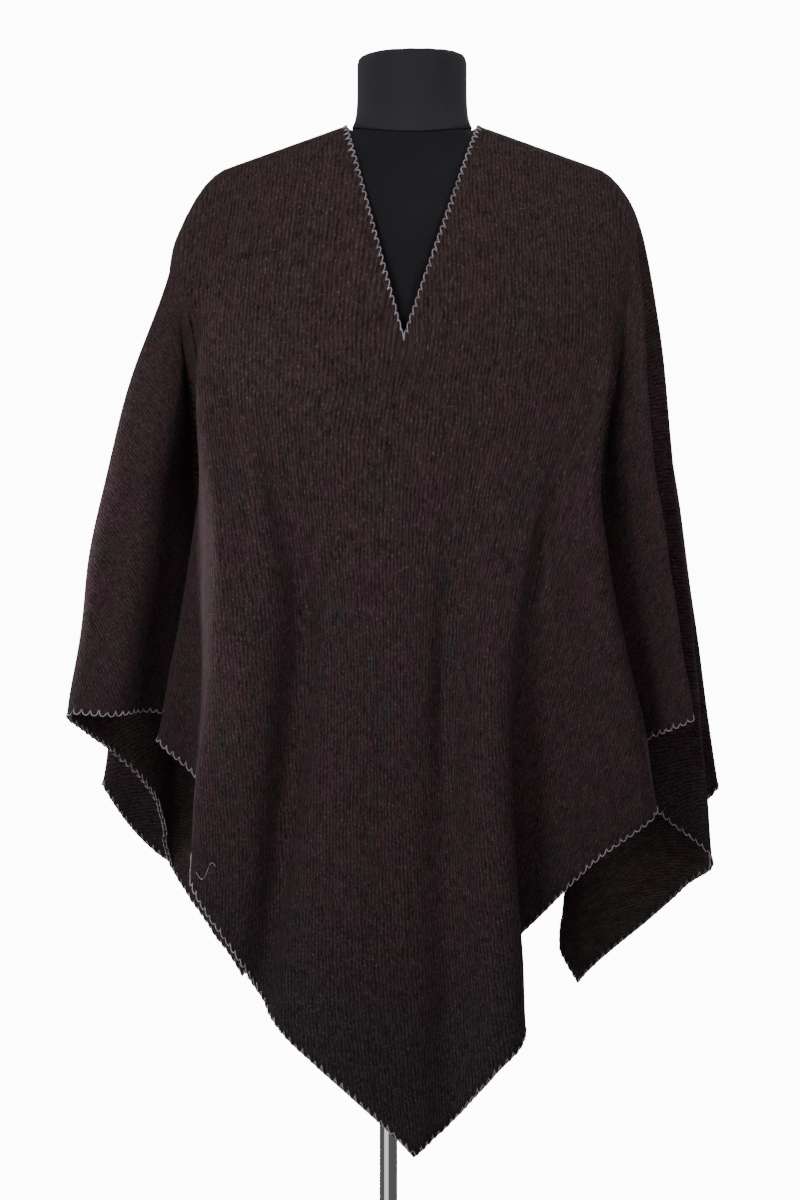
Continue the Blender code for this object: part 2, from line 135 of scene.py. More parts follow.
# One row for each fold line, in order round the hem. edge is the distance along the cut edge from
# the front corner, positive on the +X side: the side corners are at 1.5 and the back one at 3.
# yoke is the bearing in degrees at which the line leaves the yoke, 0 in front. mid is the plan
# place of the line part of the way down, and hem is where it ends.
Fold = namedtuple("Fold", "name edge yoke mid_x mid_y hem_x hem_y hem_z")
FOLDS = (
    Fold("front corner", 0.000, 0, 0.000, -0.150, 0.001, -0.165, 0.373),
    Fold("front soft valley", 0.085, 9, 0.036, -0.135, 0.0425, -0.148, 0.409),
    Fold("front panel", 0.150, 17, 0.068, -0.152, 0.0835, -0.170, 0.457),
    Fold("pleat ridge", 0.215, 26, 0.095, -0.150, 0.112, -0.155, 0.498),
    Fold("pleat valley", 0.310, 35, 0.108, -0.127, 0.062, -0.114, 0.545),
    Fold("pleat return", 0.405, 43, 0.130, -0.122, 0.114, -0.110, 0.592),
    Fold("right panel", 0.500, 51, 0.158, -0.111, 0.180, -0.103, 0.657),
    Fold("right front ridge", 0.620, 60, 0.189, -0.099, 0.247, -0.090, 0.712),
    Fold("right front valley", 0.710, 66, 0.184, -0.058, 0.166, -0.056, 0.738),
    Fold("right front bend", 0.765, 70, 0.192, -0.044, 0.162, -0.036, 0.752),
    Fold("right arm front", 0.850, 74, 0.214, -0.056, 0.234, -0.055, 0.780),
    Fold("right arm ridge", 0.940, 79, 0.241, -0.072, 0.281, -0.085, 0.801),
    Fold("right arm turn", 1.000, 81, 0.241, -0.052, 0.272, -0.062, 0.806),
    Fold("right arm valley", 1.060, 83, 0.214, -0.034, 0.196, -0.024, 0.791),
    Fold("right arm bend", 1.105, 84.5, 0.211, -0.022, 0.194, -0.004, 0.762),
    Fold("right side panel", 1.180, 86, 0.240, -0.020, 0.262, -0.014, 0.699),
    Fold("right side ridge", 1.285, 88, 0.272, -0.020, 0.311, -0.020, 0.656),
    Fold("right side turn", 1.330, 88.5, 0.268, -0.002, 0.288, 0.004, 0.630),
    Fold("right side inner", 1.390, 89, 0.245, 0.014, 0.253, 0.024, 0.595),
    Fold("right side corner", 1.500, 90, 0.212, 0.026, 0.175, 0.050, 0.522),
    Fold("right side return", 1.600, 91, 0.210, 0.040, 0.161, 0.090, 0.584),
    Fold("right back front", 1.720, 93, 0.240, 0.046, 0.228, 0.088, 0.645),
    Fold("right back ridge", 1.850, 96, 0.273, 0.052, 0.315, 0.060, 0.716),
    Fold("right back turn", 1.900, 98, 0.270, 0.070, 0.310, 0.085, 0.735),
    Fold("right back valley", 1.990, 102, 0.222, 0.090, 0.236, 0.126, 0.755),
    Fold("right blade panel", 2.100, 108, 0.236, 0.112, 0.285, 0.158, 0.772),
    Fold("right blade ridge", 2.200, 115, 0.240, 0.138, 0.305, 0.190, 0.765),
    Fold("right blade turn", 2.250, 119, 0.222, 0.150, 0.288, 0.212, 0.755),
    Fold("right blade valley", 2.305, 124, 0.176, 0.120, 0.180, 0.138, 0.740),
    Fold("right blade bend", 2.350, 129, 0.164, 0.127, 0.170, 0.160, 0.725),
    Fold("right rear panel", 2.430, 136, 0.170, 0.154, 0.212, 0.216, 0.697),
    Fold("right rear ridge", 2.500, 143, 0.154, 0.164, 0.200, 0.228, 0.665),
    Fold("right rear valley", 2.620, 152, 0.109, 0.122, 0.134, 0.138, 0.612),
    Fold("right rear turn", 2.670, 156, 0.095, 0.126, 0.116, 0.152, 0.588),
    Fold("back panel", 2.730, 160, 0.084, 0.146, 0.112, 0.202, 0.560),
    Fold("back ridge", 2.800, 167, 0.060, 0.158, 0.088, 0.222, 0.525),
    Fold("back valley", 2.900, 174, 0.028, 0.127, 0.040, 0.165, 0.478),
    Fold("back corner", 3.000, 180, 0.000, 0.142, 0.000, 0.195, 0.430),
    Fold("left back valley", -2.900, 187, -0.030, 0.127, -0.045, 0.162, 0.478),
    Fold("left back ridge", -2.800, 194, -0.062, 0.158, -0.092, 0.220, 0.527),
    Fold("left back panel", -2.720, 201, -0.088, 0.146, -0.118, 0.200, 0.565),
    Fold("left rear turn", -2.665, 205, -0.097, 0.126, -0.116, 0.148, 0.590),
    Fold("left rear valley", -2.610, 209, -0.111, 0.121, -0.136, 0.134, 0.614),
    Fold("left rear ridge", -2.500, 218, -0.156, 0.164, -0.198, 0.230, 0.667),
    Fold("left rear panel", -2.430, 224, -0.171, 0.154, -0.214, 0.218, 0.699),
    Fold("left blade bend", -2.355, 230, -0.164, 0.127, -0.170, 0.164, 0.726),
    Fold("left blade valley", -2.305, 235, -0.176, 0.120, -0.180, 0.142, 0.742),
    Fold("left blade turn", -2.250, 240, -0.220, 0.150, -0.284, 0.218, 0.757),
    Fold("left blade ridge", -2.200, 245, -0.240, 0.140, -0.302, 0.198, 0.767),
    Fold("left blade panel", -2.100, 252, -0.238, 0.114, -0.280, 0.168, 0.772),
    Fold("left back return", -1.990, 258, -0.223, 0.090, -0.238, 0.138, 0.757),
    Fold("left back turn", -1.910, 261, -0.274, 0.086, -0.316, 0.110, 0.738),
    Fold("left back arm ridge", -1.860, 264, -0.283, 0.064, -0.324, 0.086, 0.719),
    Fold("left back front", -1.740, 267, -0.246, 0.056, -0.273, 0.108, 0.654),
    Fold("left side return", -1.610, 269, -0.214, 0.056, -0.162, 0.110, 0.585),
    Fold("left side corner", -1.500, 270, -0.208, 0.040, -0.179, 0.060, 0.527),
    Fold("left side inner", -1.380, 271, -0.232, 0.030, -0.234, 0.080, 0.605),
    Fold("left side curl", -1.290, 273, -0.246, 0.019, -0.257, 0.070, 0.649),
    Fold("left side turn", -1.180, 275, -0.253, 0.002, -0.266, 0.020, 0.713),
    Fold("left side panel", -1.080, 277, -0.287, -0.014, -0.310, -0.020, 0.768),
    Fold("left arm ridge", -0.980, 279, -0.306, -0.049, -0.351, -0.070, 0.806),
    Fold("left arm cover", -0.880, 282, -0.268, -0.064, -0.308, -0.077, 0.807),
    Fold("left arm inner", -0.790, 286, -0.236, -0.038, -0.268, -0.030, 0.810),
    Fold("left trough", -0.730, 289, -0.219, -0.012, -0.214, 0.008, 0.797),
    Fold("left trough turn", -0.690, 291, -0.215, -0.025, -0.222, -0.016, 0.788),
    Fold("left side face", -0.630, 295, -0.220, -0.064, -0.260, -0.058, 0.781),
    Fold("left flank", -0.530, 301, -0.212, -0.097, -0.218, -0.062, 0.738),
    Fold("left front turn", -0.450, 307, -0.203, -0.126, -0.216, -0.112, 0.690),
    Fold("left front ridge", -0.375, 315, -0.189, -0.147, -0.221, -0.148, 0.641),
    Fold("left front panel", -0.285, 325, -0.147, -0.150, -0.177, -0.152, 0.572),
    Fold("left soft valley", -0.222, 334, -0.109, -0.137, -0.148, -0.132, 0.523),
    Fold("left soft ridge", -0.180, 341, -0.087, -0.149, -0.130, -0.156, 0.495),
    Fold("left middle panel", -0.090, 350, -0.046, -0.150, -0.066, -0.172, 0.438),
)

# Creases that are too fine for a fold line. A crease runs from its top place along the cut edge
# to its low one, which it reaches halfway down. width and depth are across it, negative for a
# trough. It starts and ends at shares of the way down, where 0 is the yoke's edge and 1 the hem.
Crease = namedtuple("Crease", "name top low width depth begin end")
CREASES = (
    Crease("front left trough", -0.150, -0.235, 0.024, -0.0095, 0.14, 0.86),
    Crease("front left wall", -0.265, -0.265, 0.032, 0.0065, 0.04, 0.36),
    Crease("front left swell", -0.040, -0.120, 0.050, 0.0045, 0.15, 1.00),
    Crease("left panel swell", -0.250, -0.300, 0.040, 0.0080, -0.05, 0.80),
    Crease("front middle trough", 0.002, 0.080, 0.018, -0.0065, 0.06, 0.55),
    Crease("front middle swell", 0.120, 0.165, 0.034, 0.0055, -0.05, 0.95),
    Crease("pleat trough", 0.170, 0.410, 0.055, -0.0085, 0.10, 0.95),
    Crease("right front swell", 0.480, 0.600, 0.036, 0.0075, 0.10, 0.95),
    Crease("right arm hollow", 0.620, 0.780, 0.060, -0.0070, -0.12, 0.62),
    Crease("left arm hollow", -0.520, -0.760, 0.090, -0.0100, -0.14, 0.60),
    Crease("left arm swell", -0.960, -0.960, 0.040, 0.0050, 0.05, 0.80),
    Crease("left arm crease", -0.925, -0.915, 0.026, -0.0035, 0.45, 0.95),
    Crease("right arm crease", 0.885, 0.885, 0.030, -0.0035, 0.25, 1.00),
    Crease("right side crease", 1.230, 1.230, 0.030, -0.0040, 0.30, 1.00),
    Crease("left side crease", -1.130, -1.130, 0.035, -0.0045, 0.25, 1.00),
    Crease("left corner crease", -1.440, -1.440, 0.030, -0.0035, 0.45, 1.00),
    Crease("right corner crease", 1.450, 1.450, 0.030, -0.0035, 0.40, 1.00),
    Crease("back left trough", -2.500, -2.560, 0.040, -0.0070, 0.10, 0.95),
    Crease("back right trough", 2.490, 2.570, 0.045, -0.0080, 0.05, 0.90),
    Crease("back middle trough", -2.960, -2.930, 0.035, -0.0065, 0.05, 0.80),
    Crease("back middle swell", 2.960, 2.950, 0.045, 0.0050, 0.10, 1.00),
    Crease("back left hollow", -2.180, -2.260, 0.060, -0.0090, -0.10, 0.60),
    Crease("back right hollow", 2.150, 2.270, 0.060, -0.0090, -0.10, 0.55),
    Crease("left blade crease", -2.140, -2.140, 0.035, -0.0045, 0.20, 0.90),
    Crease("right blade crease", 2.160, 2.160, 0.035, -0.0045, 0.25, 0.95),
)

# Shares of the way down over which a crease comes in and goes, and how far it runs past its end
CREASE_EASE = 0.26
CREASE_TAIL = 0.12
# Slow waves of heavy cloth, the share of the way down that the edging draws up, and its ripple
UNEVENNESS = 0.0011
HEM_DRAWN = 0.07
HEM_RIPPLE = 0.052

# One row for each ring of the torso, from the bottom up
Section = namedtuple("Section", "name side_x side_z front_y front_z back_y back_z squareness")
TORSO = (
    Section("bottom edge", 0.140, TORSO_BOTTOM_Z, 0.092, TORSO_BOTTOM_Z, 0.100, TORSO_BOTTOM_Z, 2.2),
    Section("bottom round", 0.150, 0.809, 0.098, 0.809, 0.108, 0.809, 2.2),
    Section("hip", 0.154, 0.850, 0.101, 0.850, 0.112, 0.850, 2.2),
    Section("high hip", 0.141, 0.930, 0.096, 0.930, 0.100, 0.930, 2.2),
    Section("waist", 0.118, 1.000, 0.086, 1.000, 0.082, 1.000, 2.1),
    Section("under bust", 0.130, 1.075, 0.098, 1.070, 0.084, 1.075, 2.1),
    Section("bust", 0.146, 1.145, 0.111, 1.130, 0.092, 1.150, 2.2),
    Section("armhole", 0.160, 1.225, 0.109, 1.170, 0.094, 1.205, 2.2),
    Section("upper arm", 0.180, 1.305, 0.105, 1.200, 0.092, 1.240, 2.2),
)


# Settings

def length(name, description, default, low=0.0, high=2.0):
    return bpy.props.FloatProperty(
        name=name, description=description, default=default, min=low, max=high,
        subtype="DISTANCE", unit="LENGTH", precision=4)


def tint(name, description, default):
    return bpy.props.FloatVectorProperty(
        name=name, description=description, default=default,
        size=3, min=0, max=1, subtype="COLOR")


class ClothSettings(bpy.types.PropertyGroup):
    """The wool cloth."""
    wall: length("Wall", "Thickness of the cloth", 0.0025, 0.001, 0.004)
    rib: length("Rib", "Distance between two lines of the twill", 0.0039, 0.002, 0.01)
    brown: tint("Brown", "Main colour of the yarn", (0.086, 0.050, 0.053))
    plum: tint("Plum", "Purple fibres blended into the yarn", (0.093, 0.046, 0.060))
    olive: tint("Olive", "Ochre fibres blended into the yarn", (0.076, 0.058, 0.040))
    grey: tint("Grey", "Grey fibres blended into the yarn", (0.062, 0.054, 0.057))
    shoulder: tint("Shoulder", "Warmer tone of the cloth round the neck", (0.086, 0.051, 0.042))
    # The corner tone is painted shade: the outer face is drawn darker and greyer toward the hem and
    # corners, where less light falls
    corner: tint("Corner", "Greyer tone of the cloth toward its corners", (0.047, 0.040, 0.042))
    fleck: tint("Fleck", "Pale fibres that lie on the yarn", (0.24, 0.18, 0.20))
    # The inner tone is the wrong side's own browner colour, made lighter as painted bounce light on the
    # shaded inside of the cloth
    inner: tint("Inner", "Tone of the cloth's inner face", (0.118, 0.092, 0.080))


class EdgingSettings(bpy.types.PropertyGroup):
    """The scalloped edging."""
    pitch: length("Pitch", "Distance from one scallop to the next", 0.0088, 0.004, 0.02)
    depth: length("Depth", "How far the stitch reaches into the cloth", 0.0062, 0.001, 0.01)
    thread: length("Thread", "Radius of the thread", 0.00050, 0.0002, 0.002)
    colour: tint("Colour", "Pale lilac wool thread", (0.70, 0.60, 0.70))


class NapSettings(bpy.types.PropertyGroup):
    """The loose fibres on the cloth."""
    fibres: bpy.props.IntProperty(
        name="Fibres", description="How many short fibres stand on the cloth",
        default=8000, min=0, max=11000)
    reach: length("Reach", "Length of the longest short fibre", 0.008, 0.002, 0.03)
    hairs: bpy.props.IntProperty(
        name="Hairs", description="How many long hairs lie over the cloth",
        default=1000, min=0, max=2500)
    hair_reach: length("Hair Reach", "Length of the longest hair", 0.030, 0.005, 0.06)
    thickness: length("Thickness", "Radius of a fibre", 0.00009, 0.00003, 0.0005)
    colour: tint("Colour", "Pale fibre", (0.26, 0.20, 0.21))


class FormSettings(bpy.types.PropertyGroup):
    """The covered dress form."""
    jersey: tint("Jersey", "Black knitted cover of the body", (0.0120, 0.0115, 0.0150))
    neck: tint("Neck", "Knitted cover of the neck, worn a little lighter", (0.0390, 0.0370, 0.0450))
    loop: length("Loop", "Width of one knitted loop", 0.0011, 0.0004, 0.004)


class StandSettings(bpy.types.PropertyGroup):
    """The stand under the form."""
    chrome: tint("Chrome", "Polished chrome", (0.72, 0.73, 0.75))
    board: tint("Board", "Black board and socket", (0.018, 0.018, 0.019))


class StageSettings(bpy.types.PropertyGroup):
    """Camera, light and backdrop."""
    distance: length("Distance", "From the camera to the form", 3.5, 1, 10)
    height: length("Height", "Height of the camera", 0.925, 0, 3)
    light: bpy.props.FloatProperty(
        name="Light", description="Share of full light", default=1.0, min=0.1, max=4)
    glow: bpy.props.FloatProperty(
        name="Glow", description="How brightly the lit backdrop shows", default=12.0, min=0, max=40)
    paper: tint("Paper", "White paper floor and backdrop", (0.86, 0.86, 0.87))


# Materials

def both_ways(operation):
    """An operator of Value for a Math node's operation, and its reflected form."""
    def forward(self, other):
        return self.maths(operation, self, other)

    def reflected(self, other):
        return self.maths(operation, other, self)

    return forward, reflected


class Value:
    """A number, colour or vector in a material. Arithmetic on it adds the nodes that work it out."""

    def __init__(self, finish, socket):
        self.finish = finish
        self.socket = socket

    def maths(self, operation, *terms):
        return self.finish.node("ShaderNodeMath", {"operation": operation}, dict(enumerate(terms)))

    __add__, __radd__ = both_ways("ADD")
    __sub__, __rsub__ = both_ways("SUBTRACT")
    __mul__, __rmul__ = both_ways("MULTIPLY")
    __truediv__, __rtruediv__ = both_ways("DIVIDE")
    __pow__, __rpow__ = both_ways("POWER")

    def sine(self):
        return self.maths("SINE", self)

    def whole(self):
        return self.maths("FLOOR", self)


class Finish:
    """A material that is made node by node."""

    def __init__(self, name):
        self.material = bpy.data.materials.new(name)
        self.material.use_nodes = True
        self.tree = self.material.node_tree
        self.shader = self.tree.nodes["Principled BSDF"]

    def node(self, kind, settings=None, sockets=None, output=0):
        """Add a node: its settings come first, then the values or links of its sockets."""
        made = self.tree.nodes.new(kind)
        for key, value in (settings or {}).items():
            setattr(made, key, value)
        for key, value in (sockets or {}).items():
            self.feed(made.inputs[key], value)
        return Value(self, made.outputs[output])

    def feed(self, socket, value):
        if isinstance(value, Value):
            self.tree.links.new(value.socket, socket)
        elif socket.type == "RGBA" and len(value) == 3:
            socket.default_value = (*value, 1)
        else:
            socket.default_value = value

    def blend(self, share, first, second, kind="MIX"):
        return self.node("ShaderNodeMix", {"data_type": "RGBA", "blend_type": kind},
                         {0: share, 6: first, 7: second}, output=2)

    def noise(self, place, scale, detail=2.0, roughness=0.5):
        return self.node("ShaderNodeTexNoise", {"noise_dimensions": "3D"},
                         {"Vector": place, "Scale": scale, "Detail": detail, "Roughness": roughness})

    def scaled(self, place, factors):
        return self.node("ShaderNodeVectorMath", {"operation": "MULTIPLY"}, {0: place, 1: factors})

    def step(self, value, low, high):
        """Rise smoothly from 0 to 1 as the value goes from low to high."""
        return self.node("ShaderNodeMapRange", {"interpolation_type": "SMOOTHSTEP"},
                         {"Value": value, "From Min": low, "From Max": high})

    def bump(self, height, distance, strength=1.0):
        return self.node("ShaderNodeBump", None,
                         {"Height": height, "Distance": distance, "Strength": strength})

    def surface(self, **sockets):
        """Set the shader's sockets: a word with an underscore names a socket with a space."""
        for key, value in sockets.items():
            self.feed(self.shader.inputs[key.replace("_", " ")], value)
        return self.material


def wool_finish(name, settings, inner):
    """Twill of thick brown wool: lines along the cloth's diagonal, mixed fibres and a soft nap."""
    wool = Finish(name)
    cut = wool.node("ShaderNodeUVMap", {"uv_map": "cut"})
    place = wool.scaled(cut, (CLOTH_SIDE, CLOTH_SIDE, 1.0))
    across = wool.node("ShaderNodeSeparateXYZ", None, {0: place})

    def fibres(factors, detail, roughness):
        return wool.noise(wool.scaled(place, factors), 1.0, detail, roughness)

    wander = fibres((120.0, 55.0, 1.0), 3.0, 0.65)
    line = across / settings.rib + (wander - 0.5) * 1.6
    swell = (line * (2 * math.pi)).sine() * 0.5 + 0.5
    along = Value(wool, across.socket.node.outputs[1])
    out = (across * across + along * along) ** 0.5

    # The yarn's fibres are drawn out along the lines, and the colours lie in clouds over it
    dash = fibres((420.0, 130.0, 1.0), 2.0, 0.65)
    yarn = fibres((1100.0, 420.0, 1.0), 2.0, 0.7)
    cloud = fibres((22.0, 16.0, 1.0), 6.0, 0.72)
    second = fibres((30.0, 20.0, 9.0), 6.0, 0.74)
    fleck = fibres((520.0, 330.0, 3.0), 2.0, 0.6)
    tuft = fibres((105.0, 60.0, 5.0), 3.0, 0.6)
    rib = swell * 0.28 + dash * 0.95 + yarn * 0.50 + tuft * 0.60 - 0.68

    # The inner face starts from its own browner tone, lightened as painted bounce light
    crest = tuple(settings.inner if inner else settings.brown)
    for value, low, high, share, colour in (
        (cloud, 0.44, 0.62, 0.9, settings.plum),
        (second, 0.52, 0.70, 0.65, settings.olive),
        (cloud, 0.50, 0.34, 0.75, settings.grey),
        (out, 0.42, 0.16, 0.45, settings.shoulder),
        # Toward the corners the outer face is painted darker and greyer as painted shade; the inner
        # face is left without it
        (out, 0.66, 0.96, 0.0 if inner else 0.85, settings.corner),
    ):
        crest = wool.blend(wool.step(value, low, high) * share, crest, tuple(colour))
    deep = wool.blend(1.0, crest, (0.14, 0.14, 0.155), "MULTIPLY")
    colour = wool.blend(wool.step(rib, 0.0, 1.0), deep, crest)
    light = wool.step(fleck, 0.56, 0.74) * (swell * 0.5 + 0.5)
    colour = wool.blend(light * 0.52, colour, tuple(settings.fleck))

    height = swell * 0.40 + dash * 0.50 + yarn * 0.45
    return wool.surface(
        Base_Color=colour,
        Roughness=0.95,
        Specular_IOR_Level=0.12,
        Sheen_Weight=0.06,
        Sheen_Roughness=0.5,
        Sheen_Tint=(0.78, 0.72, 0.75),
        Normal=wool.bump(height, 0.0009, 0.5),
    )


def shaded(colour, share):
    return tuple(share * c for c in colour)


def thread_finish(name, colour):
    thread = Finish(name)
    place = thread.node("ShaderNodeTexCoord", output=3)
    twist = thread.noise(place, 900.0, 2.0, 0.6)
    shade = thread.noise(place, 60.0, 2.0, 0.5)
    base = thread.blend(thread.step(shade, 0.35, 0.7) * 0.5, tuple(colour), shaded(colour, 0.45))
    base = thread.blend(thread.step(twist, 0.55, 0.35) * 0.5, base, shaded(colour, 0.5))
    return thread.surface(
        Base_Color=base,
        Roughness=0.85,
        Specular_IOR_Level=0.2,
        Sheen_Weight=0.35,
        Sheen_Roughness=0.5,
        Normal=thread.bump(twist, 0.0004, 0.8),
    )


def fibre_finish(name, colour):
    fibre = Finish(name)
    place = fibre.node("ShaderNodeTexCoord", output=3)
    mix = fibre.noise(place, 35.0, 2.0, 0.6)
    base = fibre.blend(fibre.step(mix, 0.35, 0.65), tuple(colour), (0.20, 0.13, 0.14))
    return fibre.surface(Base_Color=base, Roughness=0.8, Specular_IOR_Level=0.2)


def jersey_finish(name, settings, colour):
    """Black jersey, knitted in fine columns, with a faint wear that catches the light."""
    jersey = Finish(name)
    around = jersey.node("ShaderNodeUVMap", {"uv_map": "cover"})
    split = jersey.node("ShaderNodeSeparateXYZ", None, {0: around})
    column = split / settings.loop
    course = Value(jersey, split.socket.node.outputs[1]) / (settings.loop * 0.8)
    rib = (column * (2 * math.pi)).sine() * 0.5 + 0.5
    loop = ((course + column.whole() * 0.5) * (2 * math.pi)).sine() * 0.5 + 0.5
    place = jersey.node("ShaderNodeTexCoord", output=3)
    lint = jersey.noise(place, 260.0, 3.0, 0.65)
    cloud = jersey.noise(place, 9.0, 3.0, 0.6)
    base = jersey.blend(jersey.step(cloud, 0.3, 0.75), shaded(colour, 0.85), shaded(colour, 1.25))
    base = jersey.blend(jersey.step(rib * loop, 0.5, 0.05) * 0.35, base, shaded(colour, 0.55))
    base = jersey.blend(jersey.step(lint, 0.66, 0.78) * 0.35, base, (0.060, 0.062, 0.070))
    height = rib * 0.5 + loop * 0.3 + lint * 0.3
    return jersey.surface(
        Base_Color=base,
        Roughness=0.82,
        Specular_IOR_Level=0.3,
        Sheen_Weight=0.12,
        Sheen_Roughness=0.45,
        Sheen_Tint=(0.62, 0.66, 0.78),
        Normal=jersey.bump(height, 0.0004, 0.5),
    )


def chrome_finish(name, colour):
    chrome = Finish(name)
    place = chrome.node("ShaderNodeTexCoord", output=3)
    smear = chrome.noise(chrome.scaled(place, (60.0, 60.0, 8.0)), 1.0, 3.0, 0.6)
    return chrome.surface(
        Base_Color=tuple(colour),
        Metallic=1.0,
        Roughness=smear * 0.10 + 0.07,
        Normal=chrome.bump(smear, 0.0002, 0.15),
    )


def board_finish(name, colour):
    board = Finish(name)
    place = board.node("ShaderNodeTexCoord", output=3)
    grain = board.noise(place, 300.0, 3.0, 0.6)
    return board.surface(
        Base_Color=board.blend(grain, tuple(colour), shaded(colour, 1.8)),
        Roughness=grain * 0.2 + 0.5,
        Normal=board.bump(grain, 0.0003, 0.4),
    )


# Surfaces

def crest_height(reach):
    """Height of the shoulder line at a distance measured along it from the centre."""
    beyond = np.maximum(reach - NECK_HALF, 0)
    over_tip = np.maximum(reach - TIP_START, 0)
    return NECK_Z - beyond * math.sin(SHOULDER_SLOPE) - TIP_ROUND * over_tip**2


def yoke_surface(across, turn):
    """Where the cloth lies on the shoulders. turn is the angle over the crest, positive in front."""
    across, turn = np.broadcast_arrays(across, turn)
    reach = np.abs(across)
    beyond = np.maximum(reach - NECK_HALF, 0)
    x = np.sign(across) * (np.minimum(reach, NECK_HALF) + beyond * math.cos(SHOULDER_SLOPE))
    share = np.clip(reach / SHOULDER_REACH, 0, 1) ** 2
    in_front = turn >= 0
    depth = np.where(
        in_front,
        FRONT_DEPTH + (FRONT_DEPTH_TIP - FRONT_DEPTH) * share,
        BACK_DEPTH + (BACK_DEPTH_TIP - BACK_DEPTH) * share,
    )
    fall = np.where(in_front, FRONT_FALL, BACK_FALL)
    near_nape = np.clip(1 - (reach / NECK_HALF) ** 2, 0, 1)
    nape = np.where(in_front, 0, NAPE_RISE * near_nape * np.sin(-turn))
    y = -depth * np.sign(turn) * np.abs(np.sin(turn)) ** CREST_ROUNDNESS
    z = crest_height(reach) + nape - fall * (1 - np.cos(turn))
    return np.stack([x, y, z], axis=-1)


def profile_length(across, turn, steps=24):
    """Length of cloth from the crest to an angle over it, with the sign of the angle."""
    shares = np.linspace(0, 1, steps + 1)
    path = yoke_surface(across[..., None], turn[..., None] * shares)
    lengths = np.linalg.norm(np.diff(path, axis=-2), axis=-1).sum(-1)
    return np.sign(turn) * lengths


def yoke_edge(bearing):
    """Across and turn of the yoke's outer edge, where the folds begin."""
    s, c = np.sin(bearing), np.cos(bearing)
    reach = np.where(s < 0, SHOULDER_REACH_LEFT, SHOULDER_REACH)
    across = reach * np.sign(s) * np.abs(s) ** YOKE_SQUARENESS
    turn = math.pi / 2 * np.sign(c) * np.abs(c) ** YOKE_SQUARENESS
    return across, turn


def neck_edge(bearing):
    """Across and turn of the neck opening: a V in front and a shallow curve behind."""
    s, c = np.sin(bearing), np.cos(bearing)
    drop = V_DROP * (1 - np.abs(s))
    front_turn = np.arccos(1 - drop / FRONT_FALL)
    across_front = NECK_HALF * s + V_SHIFT * (1 - np.abs(s))
    return (
        np.where(c >= 0, across_front, NECK_HALF * s),
        np.where(c >= 0, front_turn, -NAPE_TURN * np.abs(c) ** 1.5),
    )


def cut_point(edge):
    """The flat place of a hem point, from its distance along the edge of the square."""
    edge = np.mod(edge + 2 * CLOTH_SIDE, 4 * CLOTH_SIDE) - 2 * CLOTH_SIDE
    half_diagonal = CLOTH_SIDE / math.sqrt(2)
    distance = np.abs(edge)
    along = np.minimum(distance, CLOTH_SIDE) / math.sqrt(2)
    behind = np.maximum(distance - CLOTH_SIDE, 0) / math.sqrt(2)
    return np.stack([np.sign(edge) * (along - behind), half_diagonal - along - behind], axis=-1)


def between(a, b, c, d, t):
    """The Catmull-Rom curve from b to c, with a before them and d after them."""
    return b + 0.5 * t * (c - a + t * (2 * a - 5 * b + 4 * c - d + t * (3 * (b - c) + d - a)))


def eased(share):
    """A share from 0 to 1 that starts and ends slowly."""
    share = np.clip(share, 0, 1)
    return share**2 * (3 - 2 * share)


def through_rows(values, steps):
    """A closed Catmull-Rom curve through the rows, with that many steps between two of them."""
    v = np.asarray(values, float)
    before, after, far = np.roll(v, 1, 0), np.roll(v, -1, 0), np.roll(v, -2, 0)
    t = (np.arange(steps) / steps)[None, :, None]
    curve = between(*(k[:, None, :] for k in (before, v, after, far)), t)
    return curve.reshape(-1, v.shape[1])


def turns_on(values, whole):
    """The same readings without the jump where a full turn starts again."""
    jumps = np.where(np.diff(values) < -whole / 2, whole, 0).cumsum()
    return values + np.concatenate([[0], jumps])


def hem_rise(edge):
    """The part of the hem's height that has a corner in it at each corner of the square."""
    return HEM_RISE * np.abs(np.sin(np.pi * edge / CLOTH_SIDE))


def fold_readings(steps):
    """Edge, bearing, mid and hem places of each fold line, and of the lines between them."""
    rows = np.array([fold[1:] for fold in FOLDS], float)
    rows[:, -1] -= hem_rise(rows[:, 0])
    whole = np.array((4 * CLOTH_SIDE, 360.0))
    rows[:, 0] = turns_on(rows[:, 0], whole[0])
    rows[:, :2] -= np.arange(len(rows))[:, None] / len(rows) * whole
    curved = through_rows(rows, steps)
    curved[:, :2] += np.arange(len(curved))[:, None] / len(curved) * whole
    edge = curved[:, 0]
    curved[:, -1] += hem_rise(edge)
    return edge, np.radians(curved[:, 1]), curved[:, 2:4], curved[:, 4:7]


def hang(start, leave, mid, hem, rows):
    """Fold lines that leave the yoke smoothly, pass the middle and end at the hem."""
    drop = start[:, 2] - hem[:, 2]
    middle = np.column_stack([mid, start[:, 2] - drop * MID_SHARE])
    pull = leave * (drop * LEAVE_PULL)[:, None]
    through = hem - start
    end = (hem - middle) / (1 - MID_SHARE)
    lines = []
    for share in np.arange(1, rows + 1) / rows:
        if share <= MID_SHARE:
            t, a, b = share / MID_SHARE, start, middle
            ta, tb = pull * MID_SHARE, through * MID_SHARE
        else:
            t, a, b = (share - MID_SHARE) / (1 - MID_SHARE), middle, hem
            ta, tb = through * (1 - MID_SHARE), end * (1 - MID_SHARE)
        lines.append(
            (2 * t**3 - 3 * t**2 + 1) * a + (t**3 - 2 * t**2 + t) * ta
            + (3 * t**2 - 2 * t**3) * b + (t**3 - t**2) * tb
        )
    return lines


def normals_of(grid):
    """Outward normals of a grid of rows that close round the body."""
    around = np.roll(grid, -1, 1) - np.roll(grid, 1, 1)
    down = np.gradient(grid, axis=0)
    normal = np.cross(down, around)
    normal /= np.linalg.norm(normal, axis=2)[..., None]
    return normal


def cotangent(corner, first, second):
    """Cotangent of the angle between two points seen from a corner."""
    u, v = first - corner, second - corner
    return (u * v).sum(-1) / np.linalg.norm(np.cross(u, v), axis=-1)


